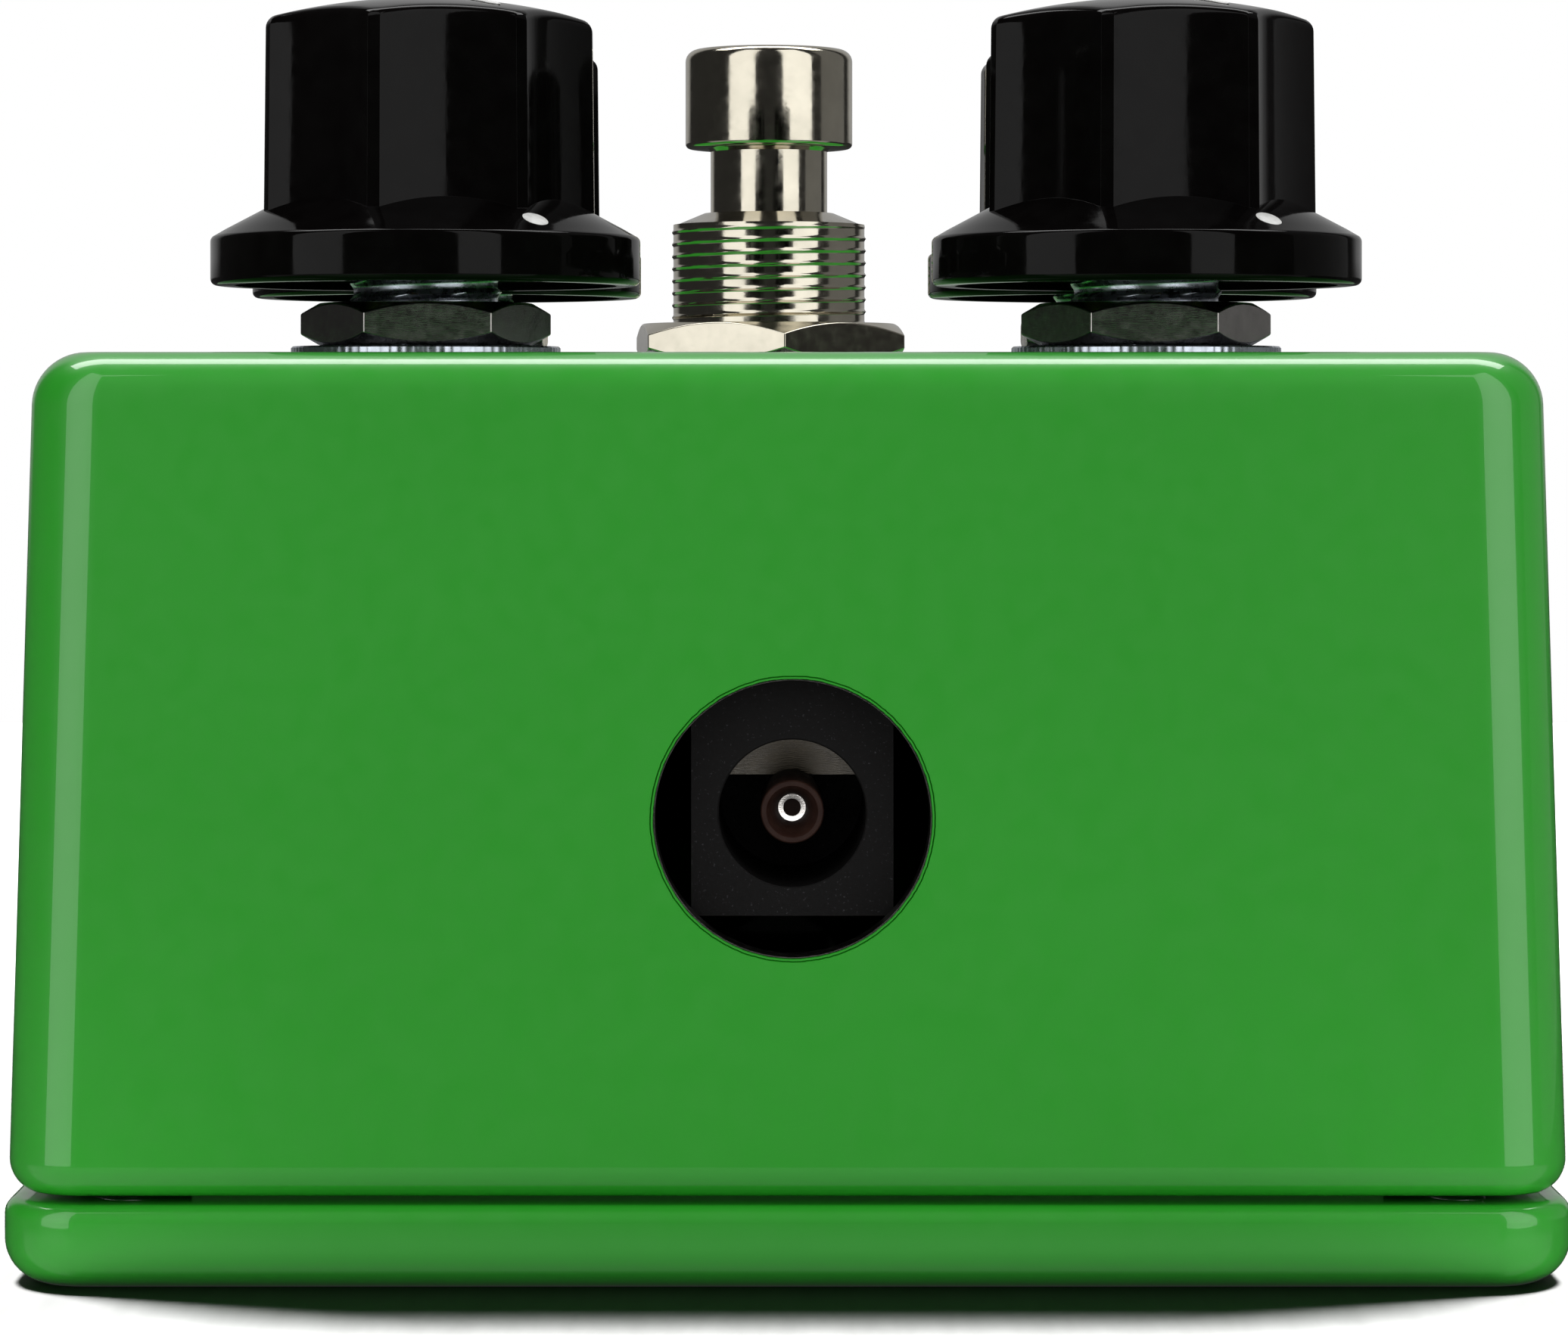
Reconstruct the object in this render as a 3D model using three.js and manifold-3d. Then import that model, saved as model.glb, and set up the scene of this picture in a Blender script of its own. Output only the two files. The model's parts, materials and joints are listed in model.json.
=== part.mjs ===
// Guitar effects pedal: a die-cast enclosure with four knobs, a footswitch,
// two side sockets and a power socket in its end wall.
//
// Millimetres, +Z up. The origin is the centre of the underside.
// -Y is the end with the power socket, +Y the end with the footswitch.
// The player stands at +Y, so the input socket, on the player's right, is at -X.

import * as THREE from 'three';
import { mergeVertices } from 'three/addons/utils/BufferGeometryUtils.js';
import Module from 'manifold-3d';

const wasm = await Module();
wasm.setup();

// ---- Driving dimensions ----

const LENGTH = 122;
const WIDTH = 66;
const TOP = 39;                   // height of the top face
const CORNER = 3.6;               // corner radius of the base plate in plan
const LEDGE = 0.25;               // how far the plate stands out past the shell's foot
const WALL = 2.3;
const PLATE = 3.6;                // thickness of the base plate at its rim
const SEAM = 0.3;                 // gap between the base plate and the shell
const DRAFT = Math.tan(THREE.MathUtils.degToRad(1.45));
const CONTACT = 0.05;             // gap between flat faces that touch
const CLEAR = 0.3;                // gap round a piece that sits in another's hole
const THROUGH = 1;                // how far a cutting tool runs past a face
const SIDES = 16;                 // facets round a small turned piece
const FINE_SIDES = 24;            // and round a large or a sliding one

const SCREW_INSET = 4.9;          // base plate screws, in from the sides
const BOSS_RADIUS = 3.2;

const KNOB_FRONT = { x: 16.6, y: -38.4 };
const KNOB_REAR = { x: 17.2, y: -15.4 };
const KNOB_UNDERSIDE = 3.3;       // knob underside above the top face
const SHAFT_RADIUS = 3;
const POT_THREAD_RADIUS = 3.5;

const SWITCH = { x: -0.8, y: 35 };
const SWITCH_THREAD_RADIUS = 6;
const SWITCH_TRAVEL_ROOM = 4;     // cap underside above the thread's end

const SOCKET_Z = TOP / 2;
const AUDIO_SOCKET_Y = 14;
const POWER = { x: 0.2, holeRadius: 5.85 };
const POWER_BODY_FACE_Y = -57.6;

const LED = { y: 2, radius: 2.5 };

const BOARD = { under: 26.3, thickness: 1.6, halfX: 26, y0: -53, y1: 6 };
const SWITCH_BOARD = { under: 15.2, thickness: 1.6, half: 10 };

// ---- Values worked out from them ----

const SHELL_UNDER = PLATE + SEAM;
const SHELL_CORNER = CORNER - LEDGE;    // corner radius of the shell, the same at every height
const CEILING = TOP - WALL;
const SCREW_X = WIDTH / 2 - SCREW_INSET;
const SCREW_Y = LENGTH / 2 - SCREW_INSET;
const BOARD_TOP = BOARD.under + BOARD.thickness;

// How far the shell's walls have leant in at height z.
const leanAt = (z) => (z - SHELL_UNDER) * DRAFT;
const wallOuterX = WIDTH / 2 - LEDGE - leanAt(SOCKET_Z);
const wallInnerX = wallOuterX - WALL;

// ---- Materials ----

const paint = (color, roughness, metalness) =>
  new THREE.MeshStandardMaterial({ color, roughness, metalness });

const MATERIALS = {
  enamel: paint(0x33932f, 0.2, 0),
  knobPlastic: paint(0x0b0a0a, 0.15, 0),
  blackPlastic: paint(0x17171a, 0.55, 0),
  brass: paint(0xb08a45, 0.35, 1),
  chrome: paint(0xcfc9bd, 0.12, 1),
  darkNickel: paint(0x55554f, 0.25, 1),
  zinc: paint(0xbfc4cc, 0.35, 1),
  steel: paint(0x8f9092, 0.4, 1),
  board: paint(0x1d4a2c, 0.5, 0),
  ledEpoxy: paint(0xc9d0d2, 0.15, 0),
  ribbon: paint(0x8d8f93, 0.6, 0),
};

// ---- Solids ----

// A closed geometry as a solid for joining and cutting.
function solidOf(geometry) {
  const bare = geometry.clone();
  bare.deleteAttribute('normal');
  bare.deleteAttribute('uv');
  const merged = mergeVertices(bare, 1e-4);
  return new wasm.Manifold(new wasm.Mesh({
    numProp: 3,
    vertProperties: new Float32Array(merged.attributes.position.array),
    triVerts: new Uint32Array(merged.index.array),
  }));
}

function geometryOf(solid) {
  const mesh = solid.getMesh();
  const geometry = new THREE.BufferGeometry();
  geometry.setAttribute('position', new THREE.BufferAttribute(new Float32Array(mesh.vertProperties), 3));
  geometry.setIndex(new THREE.BufferAttribute(new Uint32Array(mesh.triVerts), 1));
  return geometry;
}

const combine = (operation) => (first, ...others) =>
  geometryOf(others.reduce((solid, other) => solid[operation](solidOf(other)), solidOf(first)));
const join = combine('add');
const cut = combine('subtract');
const overlap = combine('intersect');

// Turns an outline of [radius, height] points about +Z. The outline runs
// anticlockwise, with the radius to the right and the height upwards.
function turned(outline, segments = SIDES, phase = 0) {
  const points = outline.map(([radius, z]) => new THREE.Vector2(radius, z));
  return new THREE.LatheGeometry(points, segments, phase).rotateX(Math.PI / 2);
}

const rod = (radius, z0, z1, segments = SIDES) =>
  turned([[0, z0], [radius, z0], [radius, z1], [0, z1]], segments);

const tube = (inner, outer, z0, z1, segments = SIDES) =>
  turned([[inner, z0], [outer, z0], [outer, z1], [inner, z1], [inner, z0]], segments);

const block = ([x0, x1], [y0, y1], [z0, z1]) =>
  new THREE.BoxGeometry(x1 - x0, y1 - y0, z1 - z0)
    .translate((x0 + x1) / 2, (y0 + y1) / 2, (z0 + z1) / 2);

// Points on an arc in an outline, angles in degrees from the radius axis.
function arc(centreR, centreZ, radius, from, to, steps) {
  return Array.from({ length: steps + 1 }, (_, step) => {
    const angle = THREE.MathUtils.degToRad(from + (to - from) * step / steps);
    return [centreR + radius * Math.cos(angle), centreZ + radius * Math.sin(angle)];
  });
}

// A rounded rectangular solid: an outline turned about +Z, whose four
// quarters then move apart to the corners of the rectangle, to centres that are
// inset(z) from the plate's sides. Outline points on the axis stay there and
// become the middle of a flat face.
function roundedRectangle(outline, inset = () => CORNER, cornerSegments = 5) {
  const segments = 4 * cornerSegments;
  const halfStep = Math.PI / segments;
  const geometry = turned(outline, segments, halfStep);
  const position = geometry.attributes.position;
  const flatToPoint = 1 / Math.cos(halfStep);
  for (let i = 0; i < position.count; i += 1) {
    const x = position.getX(i) * flatToPoint;
    const y = position.getY(i) * flatToPoint;
    if (Math.hypot(x, y) > 1e-6) {
      const inwards = inset(position.getZ(i));
      position.setXY(i, x + Math.sign(x) * (WIDTH / 2 - inwards), y + Math.sign(y) * (LENGTH / 2 - inwards));
    }
  }
  return geometry;
}

// A hexagon across flats along +Z with its corners turned down at both ends.
function hexNut(acrossFlats, hole, z0, z1, turn = 0) {
  const point = acrossFlats / Math.sqrt(3);
  const bevel = (point - acrossFlats / 2) * 0.6;
  const prism = rod(point, z0, z1, 6).rotateZ(turn);
  const bevelled = turned([
    [0, z0], [point - bevel, z0], [point, z0 + bevel],
    [point, z1 - bevel], [point - bevel, z1], [0, z1],
  ]);
  return cut(overlap(prism, bevelled), rod(hole, z0 - THROUGH, z1 + THROUGH));
}

function piece(parent, name, geometry, material) {
  const mesh = new THREE.Mesh(geometry, material);
  mesh.name = name;
  parent.add(mesh);
  return mesh;
}

function groupAt(parent, x, y, z, turn = 0) {
  const group = new THREE.Group();
  group.position.set(x, y, z);
  group.rotation.z = turn;
  parent.add(group);
  return group;
}

// The four places at plus and minus x and y.
const fourPlaces = (x, y) => [[-x, -y], [x, -y], [-x, y], [x, y]];

const pedal = new THREE.Group();

// ---- Enclosure ----

const POT_HOLE_RADIUS = POT_THREAD_RADIUS + CLEAR;
const SWITCH_HOLE_RADIUS = SWITCH_THREAD_RADIUS + CLEAR;
const AUDIO_THREAD_RADIUS = 4.7;
const AUDIO_HOLE_RADIUS = AUDIO_THREAD_RADIUS + CLEAR;

// The four controls. pointer and nutTurn are in degrees about +Z.
const KNOBS = [
  { name: 'front_left', x: -KNOB_FRONT.x, y: KNOB_FRONT.y, pointer: 38, nutTurn: 35 },
  { name: 'front_right', x: KNOB_FRONT.x, y: KNOB_FRONT.y, pointer: 34, nutTurn: 30 },
  { name: 'rear_left', x: -KNOB_REAR.x, y: KNOB_REAR.y, pointer: -13, nutTurn: 0 },
  { name: 'rear_right', x: KNOB_REAR.x, y: KNOB_REAR.y, pointer: -13, nutTurn: 0 },
];

// A die-cast box, open underneath, with drafted walls and four screw bosses.
function enclosureShell() {
  const topRound = 2.2;
  const underRound = 1.5;
  const innerCorner = SHELL_CORNER - WALL;
  const box = roundedRectangle([
    [0, CEILING],
    [innerCorner, CEILING],
    [innerCorner, SHELL_UNDER],
    ...arc(SHELL_CORNER - underRound, SHELL_UNDER + 0.9 * underRound, underRound, -64, 0, 2),
    ...arc(SHELL_CORNER - topRound, TOP - topRound, topRound, 0, 90, 3),
    [0, TOP],
  ], (z) => CORNER + leanAt(z));
  const bosses = fourPlaces(SCREW_X, SCREW_Y).map(([x, y]) =>
    rod(BOSS_RADIUS, SHELL_UNDER, CEILING + 0.2, 12).translate(x, y, 0));
  const screwHoles = fourPlaces(SCREW_X, SCREW_Y).map(([x, y]) =>
    rod(1.5 + CLEAR, SHELL_UNDER - THROUGH, 16, 8).translate(x, y, 0));
  const panelHole = (radius, x, y) =>
    rod(radius, CEILING - THROUGH, TOP + THROUGH).translate(x, y, 0);
  const socketHoles = rod(AUDIO_HOLE_RADIUS, -WIDTH, WIDTH)
    .rotateY(Math.PI / 2).translate(0, AUDIO_SOCKET_Y, SOCKET_Z);
  const powerHole = rod(POWER.holeRadius, 0, CORNER + THROUGH, FINE_SIDES)
    .rotateX(Math.PI / 2).translate(POWER.x, CORNER - LENGTH / 2, SOCKET_Z);
  return cut(
    join(box, ...bosses),
    ...screwHoles,
    ...KNOBS.map(({ x, y }) => panelHole(POT_HOLE_RADIUS, x, y)),
    panelHole(SWITCH_HOLE_RADIUS, SWITCH.x, SWITCH.y),
    panelHole(LED.radius + CLEAR, 0, LED.y),
    socketHoles,
    powerHole,
  );
}

const SCREW_HEAD_RADIUS = 2.8;
const SCREW_HEAD_SINK = 0.2;      // the heads lie this far above the underside
const SCREW_HEAD_HEIGHT = 1.6;

// The plate screwed on underneath, with a lip that locates it in the shell.
function basePlate() {
  const underRound = 1.9;
  const rimRound = 0.7;
  const floor = 2.4;
  const lipCorner = SHELL_CORNER - WALL - 0.35;
  const lipTop = PLATE + 2.3;
  const lipThickness = 1;
  const plate = roundedRectangle([
    [0, 0],
    ...arc(CORNER - underRound, underRound, underRound, -90, 0, 3),
    ...arc(CORNER - rimRound, PLATE - rimRound, rimRound, 0, 90, 2),
    [0, PLATE],
  ]);
  const lip = roundedRectangle([[0, floor], [lipCorner, floor], [lipCorner, lipTop], [0, lipTop]]);
  const hollow = roundedRectangle([
    [0, floor], [lipCorner, floor], [lipCorner, lipTop + THROUGH], [0, lipTop + THROUGH],
  ], () => CORNER + lipThickness);
  const tray = cut(join(plate, lip), hollow);
  const seatRadius = BOSS_RADIUS + 0.5;
  const seats = fourPlaces(SCREW_X, SCREW_Y).map(([x, y]) =>
    rod(seatRadius - 0.5, floor - THROUGH, PLATE, 12).translate(x, y, 0));
  const bossRooms = fourPlaces(SCREW_X, SCREW_Y).map(([x, y]) =>
    rod(seatRadius, PLATE, lipTop + THROUGH, 12).translate(x, y, 0));
  const shankRadius = 1.5 + CLEAR;
  const headRadius = SCREW_HEAD_RADIUS + CLEAR;
  const screwRooms = fourPlaces(SCREW_X, SCREW_Y).map(([x, y]) => turned([
    [0, -THROUGH], [headRadius, -THROUGH], [headRadius, SCREW_HEAD_SINK + CLEAR],
    [shankRadius, SCREW_HEAD_SINK + SCREW_HEAD_HEIGHT + CLEAR],
    [shankRadius, PLATE + THROUGH], [0, PLATE + THROUGH],
  ], 12).translate(x, y, 0));
  return cut(join(tray, ...seats), ...bossRooms, ...screwRooms);
}

// A countersunk screw with a cross recess, head down.
function basePlateScrew() {
  const shank = turned([
    [0, SCREW_HEAD_SINK], [SCREW_HEAD_RADIUS, SCREW_HEAD_SINK],
    [SCREW_HEAD_RADIUS, SCREW_HEAD_SINK + 0.2],
    [1.5, SCREW_HEAD_SINK + SCREW_HEAD_HEIGHT], [1.5, 13.5], [1, 14], [0, 14],
  ], 12);
  const slot = [SCREW_HEAD_SINK - THROUGH, SCREW_HEAD_SINK + 1];
  return cut(shank, block([-1.5, 1.5], [-0.35, 0.35], slot), block([-0.35, 0.35], [-1.5, 1.5], slot));
}

piece(pedal, 'enclosure_shell', enclosureShell(), MATERIALS.enamel);
piece(pedal, 'base_plate', basePlate(), MATERIALS.enamel);
fourPlaces(SCREW_X, SCREW_Y).forEach(([x, y], index) => {
  piece(groupAt(pedal, x, y, 0), `base_plate_screw_${index + 1}`, basePlateScrew(), MATERIALS.steel);
});

// ---- Controls: a knob on a potentiometer, at each of four places ----
// In each group z = 0 is the top face, and the pointer is at -Y before the turn.

const RIBS = 7;
const RIB_RADIUS = 7.77;
const SKIRT_RADIUS = 9.88;
const KNOB_RIM_TOP = KNOB_UNDERSIDE + 2.3;
const KNOB_BODY_BASE = KNOB_RIM_TOP + 1;
const KNOB_SHOULDER = KNOB_BODY_BASE + 8.8;
const KNOB_CROWN = KNOB_SHOULDER + 1.1;
const INSERT = { inner: SHAFT_RADIUS + CLEAR, outer: 4.4, z0: 6.9, z1: 13.6 };
const GRUB_Z = 9.4;

// The fluted grip's outline: narrow ribs with shallow hollows between them.
function flutedOutline() {
  const ribHalfAngle = 0.3 / RIB_RADIUS;
  const hollowControl = RIB_RADIUS * Math.cos(Math.PI / RIBS) - 0.5;
  const outline = new THREE.Shape();
  for (let rib = 0; rib < RIBS; rib += 1) {
    const angle = -Math.PI / 2 + 2 * Math.PI * rib / RIBS;
    const next = angle + 2 * Math.PI / RIBS;
    const middle = (angle + next) / 2;
    const at = (radius, direction) => [radius * Math.cos(direction), radius * Math.sin(direction)];
    const start = at(RIB_RADIUS, angle - ribHalfAngle);
    if (rib === 0) outline.moveTo(...start);
    outline.lineTo(...at(RIB_RADIUS, angle + ribHalfAngle));
    outline.quadraticCurveTo(...at(hollowControl, middle), ...at(RIB_RADIUS, next - ribHalfAngle));
  }
  return outline;
}

function knobCap() {
  const grip = new THREE.ExtrudeGeometry(flutedOutline(), {
    depth: KNOB_CROWN - KNOB_RIM_TOP, bevelEnabled: false, curveSegments: 2,
  }).translate(0, 0, KNOB_RIM_TOP);
  const shoulderRadius = RIB_RADIUS - 0.7;
  const crownRise = KNOB_CROWN - KNOB_SHOULDER;
  const crownRadius = (shoulderRadius ** 2 + crownRise ** 2) / (2 * crownRise);
  const crownAngle = THREE.MathUtils.radToDeg(Math.asin(shoulderRadius / crownRadius));
  const envelope = turned([
    [0, KNOB_RIM_TOP - THROUGH], [RIB_RADIUS + 0.2, KNOB_RIM_TOP - THROUGH],
    [RIB_RADIUS - 0.1, KNOB_SHOULDER - 0.7],
    ...arc(0, KNOB_CROWN - crownRadius, crownRadius, 90 - crownAngle, 90, 2),
  ], 2 * RIBS);
  const skirt = turned([
    [0, KNOB_UNDERSIDE], [SKIRT_RADIUS - 0.3, KNOB_UNDERSIDE], [SKIRT_RADIUS, KNOB_UNDERSIDE + 0.3],
    [SKIRT_RADIUS, KNOB_RIM_TOP - 0.3], [SKIRT_RADIUS - 0.3, KNOB_RIM_TOP],
    [RIB_RADIUS - 0.7, KNOB_BODY_BASE + 0.35], [0, KNOB_BODY_BASE + 0.35],
  ], FINE_SIDES);
  const hollow = turned([
    [0, 0], [8.8, 0], [8.8, KNOB_UNDERSIDE + 0.6], [4.9, KNOB_UNDERSIDE + 0.6], [4.9, INSERT.z0 - CLEAR],
    [INSERT.outer + CLEAR, INSERT.z0 - CLEAR], [INSERT.outer + CLEAR, INSERT.z1 + CLEAR],
    [0, INSERT.z1 + CLEAR],
  ], 12);
  return cut(join(overlap(grip, envelope), skirt), hollow, grubRod(1.5 + CLEAR, 0, 10));
}

// A rod along +Y at the set screw's height.
const grubRod = (radius, y0, y1) =>
  rod(radius, y0, y1, 8).rotateX(-Math.PI / 2).translate(0, 0, GRUB_Z);

const knobInsert = () => cut(
  tube(INSERT.inner, INSERT.outer, INSERT.z0, INSERT.z1, 12),
  grubRod(1.5 + CLEAR, 0, 10),
);

const knobSetScrew = () => cut(grubRod(1.5, INSERT.inner, 6.8), rod(0.75, 5.6, 8, 6)
  .rotateX(-Math.PI / 2).translate(0, 0, GRUB_Z));

const POT_BORE_RADIUS = SHAFT_RADIUS + 0.11;
const POT_CASE_RADIUS = 8.2;

// The metal can with its threaded bush, bored for the shaft.
function potCase() {
  const canTop = -WALL - CONTACT;
  const canUnder = BOARD_TOP - TOP + CONTACT;
  const can = turned([
    [0, canUnder], [POT_CASE_RADIUS, canUnder], [POT_CASE_RADIUS, canTop],
    [POT_THREAD_RADIUS, canTop], [POT_THREAD_RADIUS, 4.7], [POT_THREAD_RADIUS - 0.3, 5], [0, 5],
  ]);
  const terminals = block([-5.5, 5.5], [7, 11], [canUnder + 2, canUnder + 3.2]);
  return cut(join(can, terminals), rod(POT_BORE_RADIUS, canUnder + 4, 6));
}

const potShaft = () => cut(
  turned([[0, -7], [SHAFT_RADIUS, -7], [SHAFT_RADIUS, 12.9], [SHAFT_RADIUS - 0.5, 13.4], [0, 13.4]]),
  block([-0.4, 0.4], [-4, 4], [11, 14]),
);

for (const { name, x, y, pointer, nutTurn } of KNOBS) {
  const fixed = groupAt(pedal, x, y, TOP);
  const turning = groupAt(pedal, x, y, TOP, THREE.MathUtils.degToRad(pointer));
  const washerTop = 0.5;
  const holeRadius = POT_THREAD_RADIUS + CLEAR;
  piece(turning, `knob_${name}`, knobCap(), MATERIALS.knobPlastic);
  piece(turning, `knob_insert_${name}`, knobInsert(), MATERIALS.brass);
  piece(turning, `knob_set_screw_${name}`, knobSetScrew(), MATERIALS.steel);
  piece(turning, `pot_shaft_${name}`, potShaft(), MATERIALS.zinc);
  piece(fixed, `pot_case_${name}`, potCase(), MATERIALS.zinc);
  piece(fixed, `pot_washer_${name}`, tube(holeRadius, 6.2, CONTACT, washerTop), MATERIALS.zinc);
  piece(fixed, `pot_nut_${name}`,
    hexNut(10, holeRadius, washerTop + CONTACT, washerTop + 2, THREE.MathUtils.degToRad(nutTurn)),
    MATERIALS.darkNickel);
}

// ---- Footswitch; z = 0 is the top face ----

const SWITCH_THREAD_TOP = 9.8;
const SWITCH_NUT_TURN = THREE.MathUtils.degToRad(6);
const PLUNGER_RADIUS = 3.6;
const PLUNGER_FOOT = -2.3;
const SWITCH_FRAME_TOP = -WALL - 0.2;
const SWITCH_BODY_TOP = SWITCH_FRAME_TOP - 1.2;
const SWITCH_WELL = { radius: 4.2, floor: -12 };

// The threaded bush, in one piece with the plate that closes the body.
const switchBushing = () => cut(
  join(
    turned([
      [0, SWITCH_FRAME_TOP - 0.5], [SWITCH_THREAD_RADIUS, SWITCH_FRAME_TOP - 0.5],
      [SWITCH_THREAD_RADIUS, SWITCH_THREAD_TOP - 0.4], [SWITCH_THREAD_RADIUS - 0.4, SWITCH_THREAD_TOP],
      [0, SWITCH_THREAD_TOP],
    ]),
    block([-8.75, 8.75], [-8.5, 8.5], [SWITCH_FRAME_TOP - 1, SWITCH_FRAME_TOP]),
  ),
  rod(PLUNGER_RADIUS + 0.12, SWITCH_FRAME_TOP - 2, SWITCH_THREAD_TOP + THROUGH),
);

// The moulded body, with a well for the return spring and nine solder lugs.
function switchBody() {
  const under = -18.5;
  const lugEnd = SWITCH_BOARD.under + SWITCH_BOARD.thickness - TOP + CONTACT;
  const lugs = [-5.3, 0, 5.3].flatMap((x) => [-4.8, 0, 4.8].map((y) =>
    block([x - 1.2, x + 1.2], [y - 0.4, y + 0.4], [lugEnd, under + THROUGH])));
  return cut(
    join(block([-8.5, 8.5], [-8.2, 8.2], [under, SWITCH_BODY_TOP]), ...lugs),
    rod(SWITCH_WELL.radius, SWITCH_WELL.floor, SWITCH_BODY_TOP + THROUGH),
  );
}

// The button: a cap on a neck that slides in the bush.
function switchPlunger() {
  const capUnder = SWITCH_THREAD_TOP + SWITCH_TRAVEL_ROOM;
  const capTop = 19.9;
  const capRadius = 5.15;
  const edge = 0.7;
  return turned([
    [0, PLUNGER_FOOT], [PLUNGER_RADIUS, PLUNGER_FOOT], [PLUNGER_RADIUS, capUnder],
    [capRadius - 0.3, capUnder], [capRadius, capUnder + 0.3],
    ...arc(capRadius - edge, capTop - edge, edge, 0, 90, 3),
    [0, capTop],
  ], FINE_SIDES);
}

// The return spring, a helix from the floor of the well to the button's foot.
class Helix extends THREE.Curve {
  constructor(radius, z0, z1, turns) {
    super();
    Object.assign(this, { radius, z0, z1, turns });
  }

  getPoint(t, target = new THREE.Vector3()) {
    const angle = 2 * Math.PI * this.turns * t;
    const z = this.z0 + (this.z1 - this.z0) * t;
    return target.set(this.radius * Math.cos(angle), this.radius * Math.sin(angle), z);
  }
}

function switchSpring() {
  const wire = 0.35;
  const section = new THREE.Shape().absarc(0, 0, wire, 0, 2 * Math.PI);
  const route = new Helix(2.9, SWITCH_WELL.floor + wire + CLEAR, PLUNGER_FOOT - wire - CLEAR, 5);
  return new THREE.ExtrudeGeometry(section, { steps: 40, extrudePath: route, curveSegments: 3 });
}

const footswitch = groupAt(pedal, SWITCH.x, SWITCH.y, TOP);
piece(footswitch, 'footswitch_button', switchPlunger(), MATERIALS.chrome);
piece(footswitch, 'footswitch_bushing', switchBushing(), MATERIALS.chrome);
piece(footswitch, 'footswitch_body', switchBody(), MATERIALS.blackPlastic);
piece(footswitch, 'footswitch_spring', switchSpring(), MATERIALS.steel);
piece(footswitch, 'footswitch_washer',
  tube(SWITCH_THREAD_RADIUS + CLEAR, 8.6, CONTACT, 0.6), MATERIALS.zinc);
piece(footswitch, 'footswitch_nut',
  hexNut(15.7, SWITCH_THREAD_RADIUS + CLEAR, 0.65, 3, SWITCH_NUT_TURN), MATERIALS.chrome);

// ---- Audio sockets; in each group +X points out of the side wall ----

const BUSH_END = WIDTH / 2 + 4;
const AUDIO_BORE_RADIUS = 3.2;
const AUDIO_BODY = { x0: 5, x1: wallInnerX - 0.4, bushFrom: 26.5, halfY: 7.5, halfZ: 7 };

// Puts a solid that was made along +Z along +X.
const laidOut = (geometry) => geometry.rotateY(Math.PI / 2);

function audioBody() {
  const { x0, x1, bushFrom, halfY, halfZ } = AUDIO_BODY;
  return cut(
    block([x0, x1], [-halfY, halfY], [-halfZ, halfZ]),
    laidOut(rod(AUDIO_BORE_RADIUS, x0 + 1.5, x1 + THROUGH)),
    laidOut(rod(AUDIO_THREAD_RADIUS + CLEAR, bushFrom - CLEAR, x1 + THROUGH)),
    block([x0 + 1.6, 18.4], [-1.9, 1.9], [2.2, halfZ + THROUGH]),
  );
}

const audioBushing = () => laidOut(turned([
  [AUDIO_BORE_RADIUS, AUDIO_BODY.bushFrom], [AUDIO_THREAD_RADIUS, AUDIO_BODY.bushFrom],
  [AUDIO_THREAD_RADIUS, BUSH_END - 0.4], [AUDIO_THREAD_RADIUS - 0.4, BUSH_END],
  [AUDIO_BORE_RADIUS, BUSH_END], [AUDIO_BORE_RADIUS, AUDIO_BODY.bushFrom],
]));

// The leaf that touches the plug's tip, with its solder lug.
const audioTipContact = () => join(
  block([7, 18], [-1.5, 1.5], [2.6, 2.95]),
  block([7, 7.35], [-1.5, 1.5], [2.6, 8.6]),
);

for (const [name, turn] of [['input', Math.PI], ['output', 0]]) {
  const socket = groupAt(pedal, 0, AUDIO_SOCKET_Y, SOCKET_Z, turn);
  const washerFrom = wallOuterX + 0.3;
  const nutFrom = washerFrom + 0.7 + CONTACT;
  const holeRadius = AUDIO_THREAD_RADIUS + CLEAR;
  piece(socket, `${name}_socket_body`, audioBody(), MATERIALS.blackPlastic);
  piece(socket, `${name}_socket_bushing`, audioBushing(), MATERIALS.chrome);
  piece(socket, `${name}_socket_contact`, audioTipContact(), MATERIALS.brass);
  piece(socket, `${name}_socket_washer`,
    laidOut(tube(holeRadius, 7.4, washerFrom, washerFrom + 0.7)), MATERIALS.zinc);
  piece(socket, `${name}_socket_nut`,
    laidOut(hexNut(12.7, holeRadius, nutFrom, nutFrom + 2.2)), MATERIALS.chrome);
}

// ---- Power socket; in its group +Y points into the pedal ----

const POWER_BARREL = { z: 0.1, radius: 3.1, depth: 9.5 };

const alongY = (geometry) => geometry.rotateX(-Math.PI / 2).translate(0, 0, POWER_BARREL.z);

function powerBody() {
  const length = 14.4;
  const halfWidth = 4.25;
  const under = POWER_BARREL.z - 4.3;
  const top = BOARD.under - SOCKET_Z - CONTACT;
  return cut(
    block([-halfWidth, halfWidth], [0, length], [under, top]),
    alongY(rod(POWER_BARREL.radius, -THROUGH, POWER_BARREL.depth)),
    alongY(rod(1.05 + CLEAR, 0, length - 2, 12)),
    block([-1.5, 1.5], [POWER_BARREL.depth - 2.5, length + THROUGH], [1.5, 2.9]),
  );
}

// The centre pin: a thicker hollow tip on a thinner post.
const powerPin = () => alongY(turned([
  [0, 3.1], [0.6, 3.1], [1.05, 0.9], [1.3, 0.9], [1.3, 2.4], [1.05, 2.6], [1.05, 12.1], [0, 12.1],
], 16));

// The leaf that presses on the plug's sleeve, sloping down as it goes in.
const powerContact = () => block([-1.2, 1.2], [2.5, 15], [0, 0.3])
  .rotateX(-0.05).translate(0, 0, POWER_BARREL.z + 2.4);

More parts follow.
